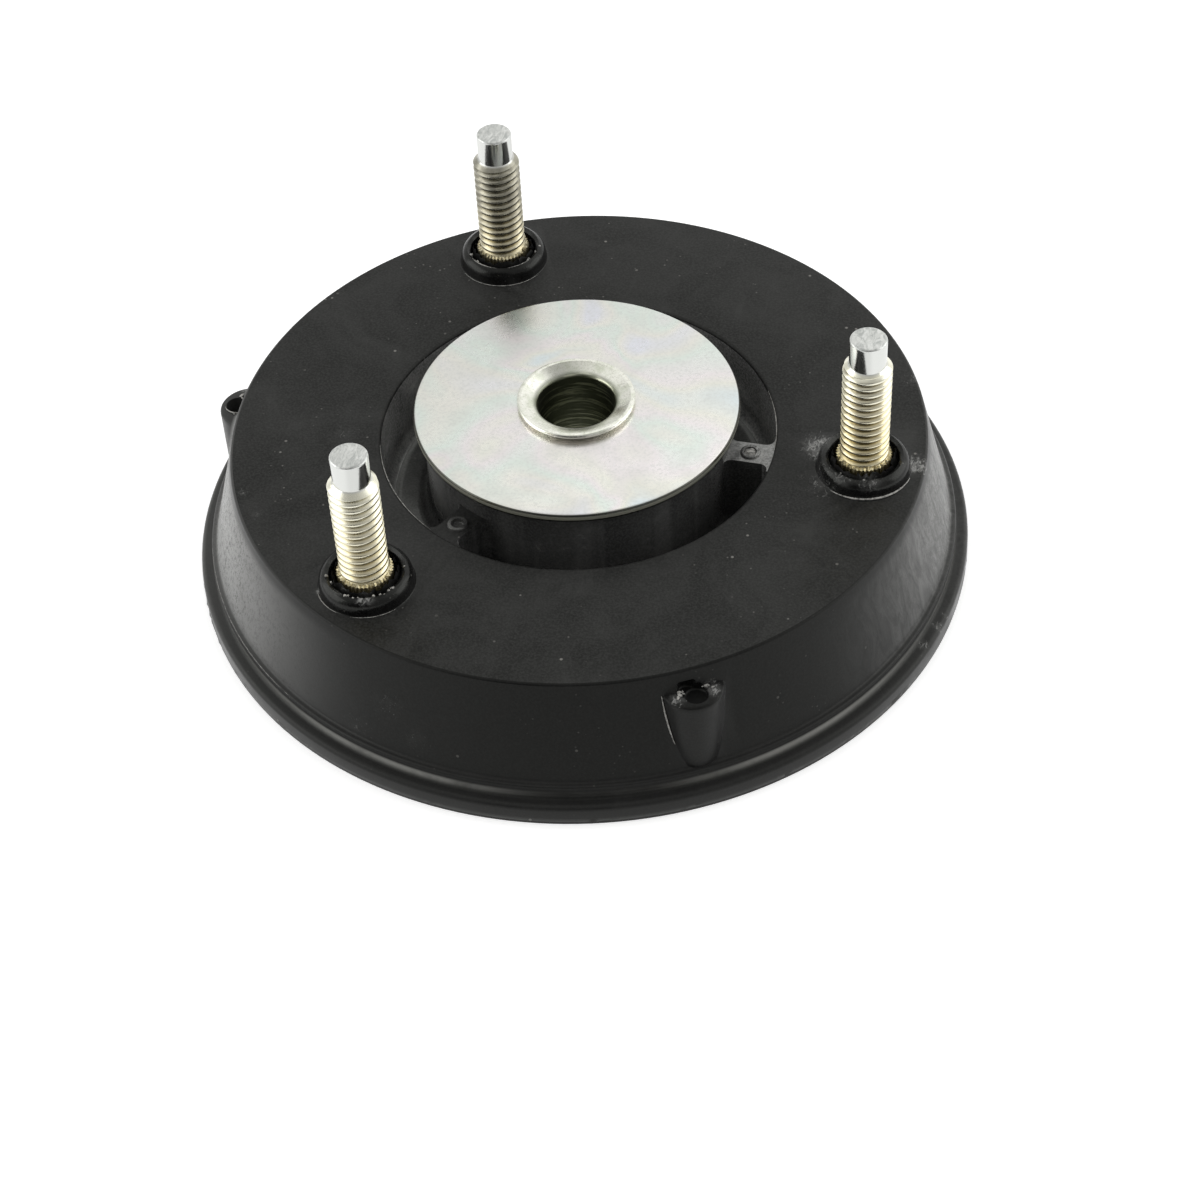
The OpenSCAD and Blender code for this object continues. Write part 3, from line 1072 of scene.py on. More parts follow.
@dataclass
class RubberBell:
    """The rubber moulding with its hub, webs, collars and lugs, in millimetres."""

    NEAR: ClassVar[float] = 0.05
    FLUSH: ClassVar[float] = 0.02
    LUG_EDGE: ClassVar[tuple[Flat, ...]] = ((0.5, 0.0), (0.25, 0.07), (0.07, 0.25), (0.0, 0.5))

    body_h: float = 29.6
    lip_r: float = LIP_R
    lip_h: float = 4.7
    step_r: float = 79.3
    step_h: float = 7.8
    foot_r: float = 78.1
    top_r: float = 72.4
    stud_r: float = STUD_R
    hole_r: float = 41.1
    hub_r: float = 32.0
    hub_top: float = 35.0
    pocket_floor: float = 13.0
    sleeve_r: float = 10.5
    hub_under: float = 5.5
    hub_foot_r: float = 29.0
    neck_r: float = 43.3
    neck_end: float = 9.0
    skin_t: float = 2.2
    plate_top: float = 27.4
    flange_flat_r: float = 78.12
    flange_r: float = 80.2
    flange_gap: float = 1.0
    flange_top: float = 3.5
    web_w: float = 5.8
    web_top: float = 29.3
    web_r: float = 1.8
    gate_d: float = 4.0
    gate_h: float = 0.45
    gate_sink: float = 0.5
    well_sink: float = 0.4
    well_wall: float = 0.75
    hole_edge: float = 0.8
    recess_r: float = 7.1
    shoulder_r: float = 6.1
    crest_h: float = 3.7
    collar_top_r: float = 9.1
    collar_foot_r: float = 9.7
    collar_fade_r: float = 11.4
    collar_sink: float = 1.0
    collar_reach: float = 11.5
    wall_skin: float = 1.5
    top_edge: float = 0.55
    lug_r: float = 6.3
    lug_front: float = 78.6
    lug_top: float = 25.0
    lug_tip: float = 6.6
    lug_round: float = 3.0
    lug_hole_r: float = 2.4
    lug_hole_at: float = 75.0
    lug_hole_ends: Flat = (19.0, 24.0)
    lug_hole_over: float = 1.3
    lug_blend: float = 0.5
    lug_sink: float = 0.03
    lug_root: float = 1.3
    notch_r: float = 1.9
    notch_in: float = 1.4
    notch_sink: float = 0.6
    notch_top: float = 27.3
    notch_aside: float = -0.009
    steps: int = 192
    skins: dict[Skin, Finish] = field(default_factory=lambda: SKINS)

    @property
    def slope(self) -> float:
        """Growth of the skirt's radius per millimetre downwards."""
        return (self.foot_r - self.top_r) / (self.body_h - self.step_h)

    def skirt_r(self, z: float, depth: float = 0.0) -> float:
        """Gives the skirt's radius at a height, or the radius at a depth under its face."""
        return self.foot_r + self.slope * (self.step_h - z) - depth * math.hypot(1.0, self.slope)

    def bell(self) -> bpy.types.Object:
        """Turns the bell with its lip, pocket and hub.

        Returns:
            The turned solid.
        """
        profile = outline([
            Corner(self.flange_flat_r, self.flange_gap),
            Corner(self.flange_flat_r, 0.0, 0.3),
            Corner(self.lip_r, 0.0, 0.15),
            Corner(self.lip_r, self.lip_h, 1.1),
            Corner(self.step_r, self.lip_h, 0.8),
            Corner(self.step_r, self.step_h, 0.5),
            Corner(self.foot_r, self.step_h, 0.6),
            Corner(self.top_r, self.body_h, 0.6),
            Corner(self.hole_r, self.body_h, self.hole_edge),
            Corner(self.hole_r, self.pocket_floor, 3.0),
            Corner(self.hub_r, self.pocket_floor, 3.0),
            Corner(self.hub_r, self.hub_top, 0.5),
            Corner(self.sleeve_r, self.hub_top),
            Corner(self.sleeve_r, self.hub_under),
            Corner(self.hub_foot_r, self.hub_under),
            Corner(self.neck_r, self.neck_end),
            Corner(self.neck_r, self.plate_top, 4.0),
            Corner(self.skirt_r(self.plate_top, self.skin_t), self.plate_top, 4.0),
            Corner(self.skirt_r(self.flange_top, self.skin_t), self.flange_top, 1.5),
            Corner(self.flange_r, self.flange_top),
            Corner(self.flange_r, self.flange_gap),
        ], steps=6)
        return Bench.turn("rubber_bell", profile, self.steps)

    def web_plan(self) -> list[Vector]:
        """Draws a web in plan, with fillets at the hub and at the wall.

        Returns:
            Points of the plan.
        """
        level = self.web_w / 2.0 + self.web_r
        hub = Vector((math.sqrt((self.hub_r + self.web_r) ** 2 - level**2), level))
        wall = Vector((math.sqrt((self.hole_r - self.web_r) ** 2 - level**2), level))
        down = -QUARTER_TURN
        hub_turn = QUARTER_TURN - math.atan2(hub.y, hub.x)
        wall_turn = QUARTER_TURN + math.atan2(wall.y, wall.x)
        side = [hub + heading(down - hub_turn * i / 6, self.web_r) for i in range(6, -1, -1)]
        side += [wall + heading(down + wall_turn * i / 6, self.web_r) for i in range(7)]
        side = [Vector((self.hub_r - 4.0, side[0].y)), *side, Vector((self.hole_r + 1.2, side[-1].y))]
        return side + [Vector((p.x, -p.y)) for p in reversed(side)]

    def web(self) -> bpy.types.Object:
        """Models one web with its gate ring.

        Returns:
            The web on the +X side.
        """
        piece = Bench.prism("web", self.web_plan(), self.pocket_floor - 1.0, self.web_top)
        gate = (self.hub_r + self.hole_r) / 2.0
        boss = Bench.turn("boss", outline([
            Corner(0.0, self.web_top - self.gate_sink),
            Corner(self.gate_d / 2.0 + 0.25, self.web_top - self.gate_sink),
            Corner(self.gate_d / 2.0, self.web_top + self.gate_h, 0.2),
            Corner(0.0, self.web_top + self.gate_h),
        ], 3), 32, gate, closed=False)
        well = Bench.turn("well", outline([
            Corner(0.0, self.web_top - self.well_sink),
            Corner(self.gate_d / 2.0 - self.well_wall, self.web_top - self.well_sink, 0.2),
            Corner(self.gate_d / 2.0 - 0.6, self.web_top + 1.0),
            Corner(0.0, self.web_top + 1.0),
        ], 3), 32, gate, closed=False)
        Bench.work(piece, boss, Cut.ADD)
        Bench.work(piece, well, Cut.TAKE)
        return piece

    def collar(self) -> bpy.types.Object:
        """Turns one collar round a stud, with a soft crest and a fillet at its foot.

        Returns:
            The collar on the +X side.
        """
        crest = self.body_h + self.crest_h
        profile = outline([
            Corner(0.0, self.body_h - self.collar_sink),
            Corner(self.collar_fade_r, self.body_h - self.collar_sink),
            Corner(self.collar_fade_r, self.body_h - 0.03),
            Corner(self.collar_foot_r, self.body_h - 0.03, 0.35),
            Corner(self.collar_top_r, crest, 2.4),
            Corner(0.0, crest),
        ], steps=7)
        return Bench.turn("collar", profile, 64, self.stud_r, closed=False)

    def recess(self) -> bpy.types.Object:
        """Turns the tool that sinks a stud's recess.

        Returns:
            The tool on the +X side.
        """
        crest = self.body_h + self.crest_h
        profile = outline([
            Corner(0.0, self.plate_top - 3.0),
            Corner(self.shoulder_r, self.plate_top - 3.0),
            Corner(self.shoulder_r, self.body_h - self.collar_sink, 0.3),
            Corner(self.recess_r, self.body_h - self.collar_sink, 0.4),
            Corner(self.recess_r, crest - 0.8, 0.6),
            Corner(self.recess_r + 1.8, crest + 0.4),
            Corner(self.recess_r + 1.8, crest + 2.0),
            Corner(0.0, crest + 2.0),
        ], steps=4)
        return Bench.turn("recess", profile, 64, self.stud_r, closed=False)

    def lug_loop(self, z: float, shrink: float) -> list[Vector]:
        """Draws a level section of a lug, blended into the skirt.

        Args:
            z: Height of the section.
            shrink: Amount by which the lug is smaller there.

        Returns:
            Points of the closed section.
        """
        blend = self.lug_blend
        skirt = self.skirt_r(z) - self.lug_sink
        under = max(self.lug_tip + self.lug_round - z, 0.0) / self.lug_round
        reach = (self.lug_front - skirt) * math.sqrt(max(1.0 - under**2, 0.0))
        middle = Vector((skirt + reach - self.lug_r, 0.0))
        round_r = self.lug_r - shrink
        x = ((skirt + blend) ** 2 - (round_r + blend) ** 2 + middle.x**2) / (2.0 * middle.x)
        pivot = Vector((x, math.sqrt(max((skirt + blend) ** 2 - x * x, 0.0))))
        away = pivot - middle
        start = math.atan2(-pivot.y, -pivot.x)
        sweep = math.remainder(math.atan2(-away.y, -away.x) - start, FULL_TURN)
        side = [pivot + heading(start + sweep * i / 6, blend) for i in range(7)]
        open_angle = math.atan2(away.y, away.x)
        front = [middle + heading(open_angle * (1.0 - i / 12), round_r) for i in range(1, 13)]
        half = [side[0].normalized() * (skirt - self.lug_root), *side, *front]
        loop = half + [Vector((p.x, -p.y)) for p in reversed(half[:-1])]
        return [Vector((p.x, p.y, z)) for p in loop]

    def lug(self) -> bpy.types.Object:
        """Lofts one lug up the skirt, with a soft top edge.

        Returns:
            The lug on the +X side.
        """
        arc = [i * math.pi / 16 for i in range(1, 9)]
        levels = [(self.lug_tip + self.lug_round * (1.0 - math.cos(a)), 0.0) for a in arc]
        levels += [(self.lug_tip + self.lug_round + 2.0 * i, 0.0) for i in range(1, 8)]
        levels += [(self.lug_top - down, shrink) for down, shrink in self.LUG_EDGE]
        return Bench.loft("lug", [self.lug_loop(z, shrink) for z, shrink in levels])

    def lug_tool(self, at: float, reach: float, low: float, high: float) -> bpy.types.Object:
        """Turns a soft-ended tool that sinks a hole or a notch at a lug.

        Args:
            at: Distance of its axis from the mount's axis.
            reach: Radius of the tool.
            low: Height of its lower end.
            high: Height of its upper end.

        Returns:
            The tool on the +X side.
        """
        profile = outline([
            Corner(0.0, low), Corner(reach, low, 0.6), Corner(reach + 0.05, high, 0.6), Corner(0.0, high),
        ], steps=4)
        return Bench.turn("lug_tool", profile, 40, at, closed=False)

    def skin_of(self, face: bpy.types.MeshPolygon) -> Skin:
        """Chooses the finish of a face.

        Args:
            face: Face of the bell.

        Returns:
            The skin that it belongs to.
        """
        spot = face.center / MM
        radius = math.hypot(spot.x, spot.y)
        turn = math.remainder(math.atan2(spot.y, spot.x), pitch_angle(1.0))
        from_stud = (heading(turn, radius) - Vector((self.stud_r, 0.0))).length
        off_top = abs(spot.z - self.body_h)
        if radius < self.hole_r - self.NEAR and abs(spot.z - self.web_top) < self.FLUSH:
            return Skin.POCKET if spot.x > self.hub_r else Skin.TOP
        if radius < self.hole_r + self.NEAR:
            return Skin.POCKET if radius > self.hole_r - self.wall_skin else Skin.HUB
        if from_stud < self.collar_reach and spot.z > self.plate_top and off_top > self.FLUSH:
            return Skin.COLLAR
        if radius > self.top_r - self.top_edge or spot.z < self.body_h - 3.0:
            return Skin.SKIRT
        return Skin.TOP

    def build(self) -> bpy.types.Object:
        """Models the whole moulding.

        Returns:
            The dressed piece.
        """
        piece = self.bell()
        Bench.work(piece, Bench.around(self.web(), WEB_PITCHES), Cut.ADD)
        Bench.work(piece, Bench.around(self.collar()), Cut.ADD)
        Bench.work(piece, Bench.around(self.lug(), LUG_PITCHES), Cut.ADD)
        Bench.work(piece, Bench.around(self.recess()), Cut.TAKE)
        for pitch, end in zip(LUG_PITCHES, self.lug_hole_ends):
            hole = self.lug_tool(self.lug_hole_at, self.lug_hole_r, end, self.lug_top + self.lug_hole_over)
            Bench.work(piece, Bench.around(hole, (pitch,)), Cut.TAKE)
        notch_at = self.lug_hole_at - self.notch_in
        notch = self.lug_tool(notch_at, self.notch_r, self.lug_top - self.notch_sink, self.notch_top)
        aside = tuple(pitch + self.notch_aside for pitch in LUG_PITCHES)
        Bench.work(piece, Bench.around(notch, aside), Cut.TAKE)
        Bench.smooth(piece, 32.0)
        self.dress(piece)
        return settle(piece, "rubber", "rubber_body")

    def dress(self, piece: bpy.types.Object) -> None:
        """Gives each face its finish.

        Args:
            piece: The moulding.
        """
        piece.data.materials.clear()
        for skin in Skin:
            piece.data.materials.append(self.skins[skin].material())
        for face in piece.data.polygons:
            face.material_index = self.skin_of(face).value


@dataclass
class Flash:
    """Ragged rubber that the mould left on the lip's edge and in the stud recesses, in millimetres."""

    lip_r: float = LIP_R
    stud_r: float = STUD_R
    seam_r: float = 6.0
    wall_r: float = 7.25
    floor_z: float = 28.4
    ridge_z: float = 33.1
    tears: int = 26
    seed: int = 7
    shake_seed: int = 3
    finish: Finish = field(default_factory=lambda: MouldedRubber(
        "flash_rubber", dark=0.005, pale=0.012, gloss=0.35, rough_low=0.25, rough_high=0.4, dust=0.6))

    def shake(
        self, piece: bpy.types.Object, edge: Flat, centre: float, shift: float, torn: list[Flat],
    ) -> None:
        """Shakes stretches of a turned strip's edge.

        Args:
            piece: The strip.
            edge: Radius and height of the edge.
            centre: Distance of the strip's axis from the origin, along X.
            shift: Furthest shift of a vertex.
            torn: Starts and ends of the stretches, in radians.
        """
        middle = Vector((centre, 0.0))

        def loose(spot: Vector) -> bool:
            """Says whether a vertex lies on a torn stretch of the edge."""
            arm = spot.xy / MM - middle
            turn = math.atan2(arm.y, arm.x)
            on_edge = abs(arm.length - edge[0]) + abs(spot.z / MM - edge[1]) < 0.05
            return on_edge and any(start <= turn <= end for start, end in torn)

        Bench.pick(piece, loose)
        Bench.roughen(shift, self.shake_seed)
        Bench.weld(piece)

    def build(self) -> bpy.types.Object:
        """Models the strips.

        Returns:
            The dressed piece.
        """
        edge = (self.lip_r + 0.1, 0.8)
        lip = Bench.turn("rubber_flash", [(self.lip_r - 0.35, 0.2), (self.lip_r - 0.02, 1.7), edge], 480)
        dice = random.Random(self.seed)
        starts = [dice.uniform(-math.pi, math.pi) for _ in range(self.tears)]
        self.shake(lip, edge, 0.0, 0.12, [(start, start + dice.uniform(0.03, 0.16)) for start in starts])
        ridge = (self.seam_r + 0.25, self.ridge_z)
        seam = Bench.turn("seam", [
            (self.wall_r, self.floor_z), (self.wall_r, self.floor_z + 2.0), ridge,
            (self.seam_r - 0.3, self.floor_z),
        ], 56, self.stud_r)
        self.shake(seam, ridge, self.stud_r, 0.5, [(-math.pi, math.pi)])
        piece = Bench.join(lip, Bench.around(seam))
        Bench.weld(piece)
        coat(piece, 50.0, self.finish)
        return settle(piece, "rubber")


@dataclass
class CrumbsAndHighlights:
    """Torn bits of rubber round the studs, on the lugs and in one gate ring, and pale strips painted as
    highlight lines, in millimetres.
    """

    EDGE_PLAN: ClassVar[tuple[Flat, ...]] = ((-1.0, 0.7), (-1.0, -0.7), (1.0, -0.5), (1.0, 0.1))
    FLAKE: ClassVar[tuple[Flat, ...]] = ((0.6, 2.2), (0.4, 1.1), (0.2, 0.5))

    stud_r: float = STUD_R
    lip_r: float = 7.6
    lip_z: float = 32.75
    foot_r: float = 9.85
    foot_z: float = 29.65
    rim_r: float = 41.25
    rim_z: float = 29.45
    step_r: float = 79.1
    step_z: float = 7.6
    lug_r: float = 75.0
    lug_top: float = 25.1
    hole_r: float = 2.6
    gate_r: float = 36.55
    gate_z: float = 29.3
    size: float = 0.3
    edge_low: float = 14.0
    edge_w: float = 0.36
    edge_steps: int = 24
    seed: int = 11
    finish: Finish = field(default_factory=lambda: TrimmedRubber("trimmed_rubber"))

    def crumb(self) -> bpy.types.Object:
        """Models one crumb at the origin.

        Returns:
            The crumb.
        """
        Bench.clear()
        bpy.ops.mesh.primitive_ico_sphere_add(subdivisions=2, radius=self.size * MM)
        piece = bpy.context.object
        Bench.edit(piece)
        Bench.roughen(self.size * 0.4, self.seed)
        Bench.weld(piece)
        return piece

    def places(self) -> list[tuple[Vector, Vector]]:
        """Scatters the crumbs.

        Returns:
            Place and scale of each crumb.
        """
        dice = random.Random(self.seed)
        found: list[tuple[Vector, Vector]] = []
        for pitch, count, spread in ((0, 9, 1.2), (1, 16, 1.5), (2, 26, 1.7)):
            middle = heading(pitch_angle(pitch), self.stud_r)
            for _ in range(count):
                turn = PHOTO_FRONT + dice.uniform(-spread, spread)
                spot = middle + heading(turn, self.lip_r + dice.uniform(-0.5, 0.5))
                place = Vector((spot.x, spot.y, self.lip_z + dice.uniform(-0.5, 0.2)))
                found.append((place, Vector((1.0, 1.0, 1.0)) * dice.uniform(0.4, 1.25)))
        for pitch, count in zip(LUG_PITCHES, (8, 12)):
            angle = pitch_angle(pitch)
            middle = heading(angle, self.lug_r)
            for i in range(count):
                sign = 1.0 if i % 2 else -1.0
                turn = angle + sign * QUARTER_TURN + dice.uniform(-0.2, 0.9) * sign
                spot = middle + heading(turn, dice.uniform(2.4, 3.7))
                place = Vector((spot.x, spot.y, self.lug_top + dice.uniform(-0.1, 0.25)))
                found.append((place, Vector([dice.uniform(low, high) for low, high in self.FLAKE])))
        found.append((Vector((self.gate_r, 0.0, self.gate_z)), Vector((3.8, 3.8, 1.2))))
        return found

    def strip(self, path: list[Vector], outs: list[Vector], width: float) -> bpy.types.Object:
        """Lofts a thin torn edge that tapers to both ends.

        Args:
            path: Points along the edge.
            outs: Direction in which the edge stands out at each point.
            width: Half its width in the middle.

        Returns:
            The edge in its place.
        """
        last = len(path) - 1
        loops = []
        for i, (spot, out) in enumerate(zip(path, outs)):
            ahead = path[min(i + 1, last)] - path[max(i - 1, 0)]
            aside = ahead.cross(out).normalized()
            reach = width * math.sin(math.pi * (0.1 + 0.8 * i / last))
            loops.append([spot + (out * a + aside * b) * reach for a, b in self.EDGE_PLAN])
        return Bench.loft("pale_strip", loops)

    def lug_edge(self) -> bpy.types.Object:
        """Models the torn edge along one side of the front lug.

        Returns:
            The edge in its place.
        """
        bell = RubberBell()
        rise = bell.lug_top - self.edge_low
        levels = [self.edge_low + rise * i / self.edge_steps for i in range(self.edge_steps + 1)]
        sides = [bell.lug_loop(z, 0.0)[3] for z in levels]
        path = [Vector((spot.x, -spot.y, spot.z)) for spot in sides]
        piece = self.strip(path, [Vector((1.0, 0.0, 0.0))] * len(path), self.edge_w)
        return Bench.around(piece, LUG_PITCHES[-1:])

    def arc(
        self, middle: Vector, reach: float, start: float, sweep: float, width: float,
    ) -> bpy.types.Object:
        """Models a torn edge, or a pale strip that is a painted highlight line, round part of a collar or
        a hole.

        Args:
            middle: Middle of the arc.
            reach: Radius of the arc.
            start: Angle of its first end from the photograph's front, in degrees.
            sweep: Turn to its other end, in degrees.
            width: Half its width in the middle.

        Returns:
            The edge in its place.
        """
        first = PHOTO_FRONT + math.radians(start)
        turns = [first + math.radians(sweep) * i / self.edge_steps for i in range(self.edge_steps + 1)]
        arms = [heading(turn) for turn in turns]
        path = [middle + Vector((arm.x, arm.y, 0.0)) * reach for arm in arms]
        outs = [Vector((arm.x, arm.y, 1.0)).normalized() for arm in arms]
        return self.strip(path, outs, width)

    def edges(self) -> list[bpy.types.Object]:
        """Models all the torn edges, and the pale strips that are painted highlight lines.

        Returns:
            The edges in their places.
        """
        def at(pitch: float, reach: float, z: float) -> Vector:
            """Gives a place by its pitch, distance and height."""
            spot = heading(pitch_angle(pitch), reach)
            return Vector((spot.x, spot.y, z))

        right, back, left = (at(pitch, self.stud_r, self.foot_z) for pitch in STUD_PITCHES)
        back_crest, crest_r = at(1.0, self.stud_r, self.lip_z + 0.1), self.lip_r + 0.1
        hole = at(LUG_PITCHES[0], self.lug_r, self.lug_top)
        step, rim = Vector((0.0, 0.0, self.step_z)), Vector((0.0, 0.0, self.rim_z))
        # Painted highlight lines: the pale strips at the collar feet, at the lug's hole and on the
        # pocket's rim.
        arcs = (
            (left, self.foot_r, -78.0, 42.0, 0.16),
            (left, self.foot_r, -18.0, 55.0, 0.15),
            (right, self.foot_r, -48.0, 112.0, 0.5),
            (back, self.foot_r, -62.0, 112.0, 0.15),
            (back_crest, crest_r, -64.0, 52.0, 0.26),
            (back_crest, crest_r, 6.0, 46.0, 0.2),
            (hole, self.hole_r, -80.0, 120.0, 0.22),
            (step, self.step_r, -100.0, 62.0, 0.1),
            (rim, self.rim_r, -88.0, 40.0, 0.1),
            (rim, self.rim_r, 76.0, 26.0, 0.1),
        )
        return [self.lug_edge(), *[self.arc(*row) for row in arcs]]

    def build(self) -> bpy.types.Object:
        """Copies the crumb to all its places.

        Returns:
            The dressed piece.
        """
        crumb = self.crumb()
        dice = random.Random(self.seed + 1)
        bits = []
        for place, scale in self.places():
            copy = Bench.copy(crumb)
            copy.location, copy.scale = place * MM, scale
            copy.rotation_euler.z = dice.uniform(0.0, FULL_TURN)
            bits.append(copy)
        bpy.data.objects.remove(crumb, do_unlink=True)
        bits += self.edges()
        Bench.fix(*bits)
        piece = Bench.join(*bits)
        piece.name = "rubber_crumbs_and_highlights"
        coat(piece, 60.0, self.finish)
        return settle(piece, "rubber")


@dataclass
class Studs:
    """Three press-in studs with a rolled thread, in millimetres."""

    GROOVE: ClassVar[str] = "groove"
    THREAD_FORM: ClassVar[tuple[Flat, ...]] = (
        (0.0, 0.0), (0.05, 0.02), (0.11, 0.18), (0.29, 0.84), (0.35, 0.95), (0.42, 1.0),
        (0.56, 1.0), (0.63, 0.95), (0.7, 0.84), (0.89, 0.18), (0.95, 0.02), (1.0, 0.0),
    )

    stud_r: float = STUD_R
    thread_r: float = 5.0
    root_r: float = 4.25
    pitch: float = 1.68
    turns: int = 16
    turn_steps: int = 48
    plate_under: float = 24.9
    head_r: float = 7.5
    head_t: float = 3.0
    knurl_r: float = 5.7
    knurl_top: float = 33.5
    tooth: float = 0.35
    thread_top: float = 56.3
    dog_foot: float = 57.5
    dog_r: float = 3.75
    tip: float = 63.5
    teeth: int = 44
    burr_h: float = 0.4
    burr_shift: float = 0.16
    seed: int = 5
    finish: Finish = field(default_factory=lambda: GoldenZinc("golden_zinc"))

    def thread(self) -> bpy.types.Object:
        """Winds the thread and trims its ends.

        Returns:
            The threaded length, round the origin.
        """
        depth = self.thread_r - self.root_r
        start = self.knurl_top - self.pitch
        points = [
            Vector((self.root_r + depth * out, 0.0, start + self.pitch * up))
            for up, out in self.THREAD_FORM
        ]
        piece = Bench.draw("thread", points)
        Bench.modify(
            piece, "SCREW", axis="Z", screw_offset=self.pitch * MM, iterations=self.turns,
            steps=self.turn_steps, render_steps=self.turn_steps, use_merge_vertices=True,
            merge_threshold=WELD,
        )
        Bench.edit(piece)
        bpy.ops.mesh.remove_doubles(threshold=WELD)
        bpy.ops.mesh.fill_holes(sides=0)
        Bench.weld(piece)
        chamfer = self.thread_r + 0.3
        room = Bench.turn("room", [
            (0.0, self.knurl_top - 0.5), (chamfer, self.knurl_top - 0.5), (chamfer, self.thread_top - 0.3),
            (self.dog_r - 0.1, self.dog_foot), (0.0, self.dog_foot),
        ], 64, closed=False)
        Bench.work(piece, room, Cut.KEEP)
        return piece

    def core(self) -> bpy.types.Object:
        """Turns the head, the shoulder, the core and the dog point.

        Returns:
            The turned solid, round the origin.
        """
        low = self.plate_under - self.head_t
        shoulder = self.knurl_r - self.tooth - 0.05
        profile = outline([
            Corner(0.0, low),
            Corner(self.head_r, low, 0.8),
            Corner(self.head_r, self.plate_under),
            Corner(shoulder, self.plate_under),
            Corner(shoulder, self.knurl_top),
            Corner(self.thread_r - 0.3, self.knurl_top + 0.7, 0.2),
            Corner(self.root_r - 0.06, self.knurl_top + 1.1),
            Corner(self.root_r - 0.06, self.dog_foot - 1.0),
            Corner(self.dog_r, self.dog_foot - 0.3, 0.2),
            Corner(self.dog_r, self.tip, 0.5),
            Corner(0.0, self.tip),
        ], steps=5)
        return Bench.turn("stud_core", profile, 64, closed=False)

    def knurl(self) -> bpy.types.Object:
        """Models the toothed ring on the shoulder.

        Returns:
            The ring as a solid, round the origin.
        """
        high, low = self.knurl_top, self.plate_under + 0.1
        Bench.clear()
        bpy.ops.mesh.primitive_cylinder_add(
            vertices=2 * self.teeth, radius=self.knurl_r * MM, depth=(high - low) * MM,
            location=(0.0, 0.0, (high + low) / 2.0 * MM),
        )
        piece = bpy.context.object
        Bench.fix(piece)
        step = math.pi / self.teeth
        Bench.pick(piece, lambda v: round(math.atan2(v.y, v.x) / step) % 2 == 0)
        squeeze = 1.0 - self.tooth / self.knurl_r
        bpy.ops.transform.resize(value=(squeeze, squeeze, 1.0), center_override=(0.0, 0.0, 0.0))
        Bench.pick(piece, lambda v: v.z > (high - 0.01) * MM)
        bpy.ops.mesh.extrude_region_move(TRANSFORM_OT_translate={"value": (0.0, 0.0, self.burr_h * MM)})
        bpy.ops.transform.resize(value=(0.92, 0.92, 1.0), center_override=(0.0, 0.0, 0.0))
        Bench.roughen(self.burr_shift, self.seed)
        Bench.weld(piece)
        return piece

    def clear_inside(self, piece: bpy.types.Object) -> None:
        """Deletes the thread's end face, which the union can leave inside the dog point.

        Args:
            piece: One stud, round the origin.
        """
        inside = (self.dog_r - 0.05) * MM
        Bench.pick(piece, lambda v: v.xy.length < inside and abs(v.z / MM - self.dog_foot) < 0.02)
        bpy.ops.mesh.delete(type="VERT")
        Bench.clear()

    def mark_grooves(self, piece: bpy.types.Object) -> None:
        """Stores how deep in the thread each vertex lies.

        Args:
            piece: One stud, round the origin.
        """
        depth = self.thread_r - self.root_r
        groove = piece.data.attributes.new(self.GROOVE, "FLOAT", "POINT")
        for mark, vertex in zip(groove.data, piece.data.vertices):
            radius, height = vertex.co.xy.length / MM, vertex.co.z / MM
            threaded = self.knurl_top < height < self.thread_top
            mark.value = min(max((self.thread_r - radius) / depth, 0.0), 1.0) if threaded else 0.0

    def build(self) -> bpy.types.Object:
        """Models one stud and sets three copies in their places.

        Returns:
            The dressed piece.
        """
        piece = self.core()
        Bench.work(piece, self.thread(), Cut.ADD)
        self.clear_inside(piece)
        Bench.work(piece, self.knurl(), Cut.ADD)
        Bench.edit(piece)
        bpy.ops.mesh.vert_connect_concave()
        Bench.clear()
        self.mark_grooves(piece)
        piece.location.x = self.stud_r * MM
        Bench.fix(piece)
        piece = Bench.around(piece)
        piece.name = "threaded_studs"
        coat(piece, 35.0, self.finish)
        return settle(piece, "stud_steel", "studs")


@dataclass
class Sleeve:
    """The tube through the hub, flared over the upper washer, in millimetres."""

    bore_r: float = 8.0
    outer_r: float = 10.5
    flare_r: float = 12.2
    washer_top: float = 36.8
    top: float = 38.5
    end: float = 2.4
    finish: Finish = field(default_factory=lambda: TurnedSteel("turned_steel"))

    def build(self) -> bpy.types.Object:
        """Turns the sleeve.

        Returns:
            The dressed piece.
        """
        profile = outline([
            Corner(self.bore_r + 0.5, self.end, 0.1),
            Corner(self.outer_r - 0.5, self.end, 0.1),
            Corner(self.outer_r, self.end + 0.5),
            Corner(self.outer_r, self.washer_top + 0.25, 0.3),
            Corner(self.flare_r, self.top - 0.85, 0.25),
            Corner(self.flare_r, self.top, 0.38),
            Corner(self.flare_r - 0.9, self.top, 0.5),
            Corner(self.bore_r, self.top - 1.35, 1.1),
            Corner(self.bore_r, self.end + 0.5),
        ], steps=7)
        piece = Bench.turn("flared_sleeve", profile, 128)
        coat(piece, 32.0, self.finish)
        return settle(piece, "sleeve_steel", "inner_sleeve")


@dataclass
class Washer:
    """A flat plated washer with a sheared edge, in millimetres."""

    name: str
    node: str
    outer_r: float
    low: float
    high: float
    hole_r: float = 10.5
    finish: Finish = field(default_factory=lambda: RainbowZinc("rainbow_zinc"))

    def build(self) -> bpy.types.Object:
        """Turns the washer.

        Returns:
            The dressed piece.
        """
        profile = outline([
            Corner(self.hole_r, self.low),
            Corner(self.outer_r - 0.12, self.low, 0.15),
            Corner(self.outer_r, self.low + 0.7),
            Corner(self.outer_r - 0.04, self.high, 0.6),
            Corner(self.hole_r, self.high),
        ], steps=5)
        piece = Bench.turn(self.name, profile, 192)
        coat(piece, 40.0, self.finish)
        return settle(piece, "washer_steel", self.node)


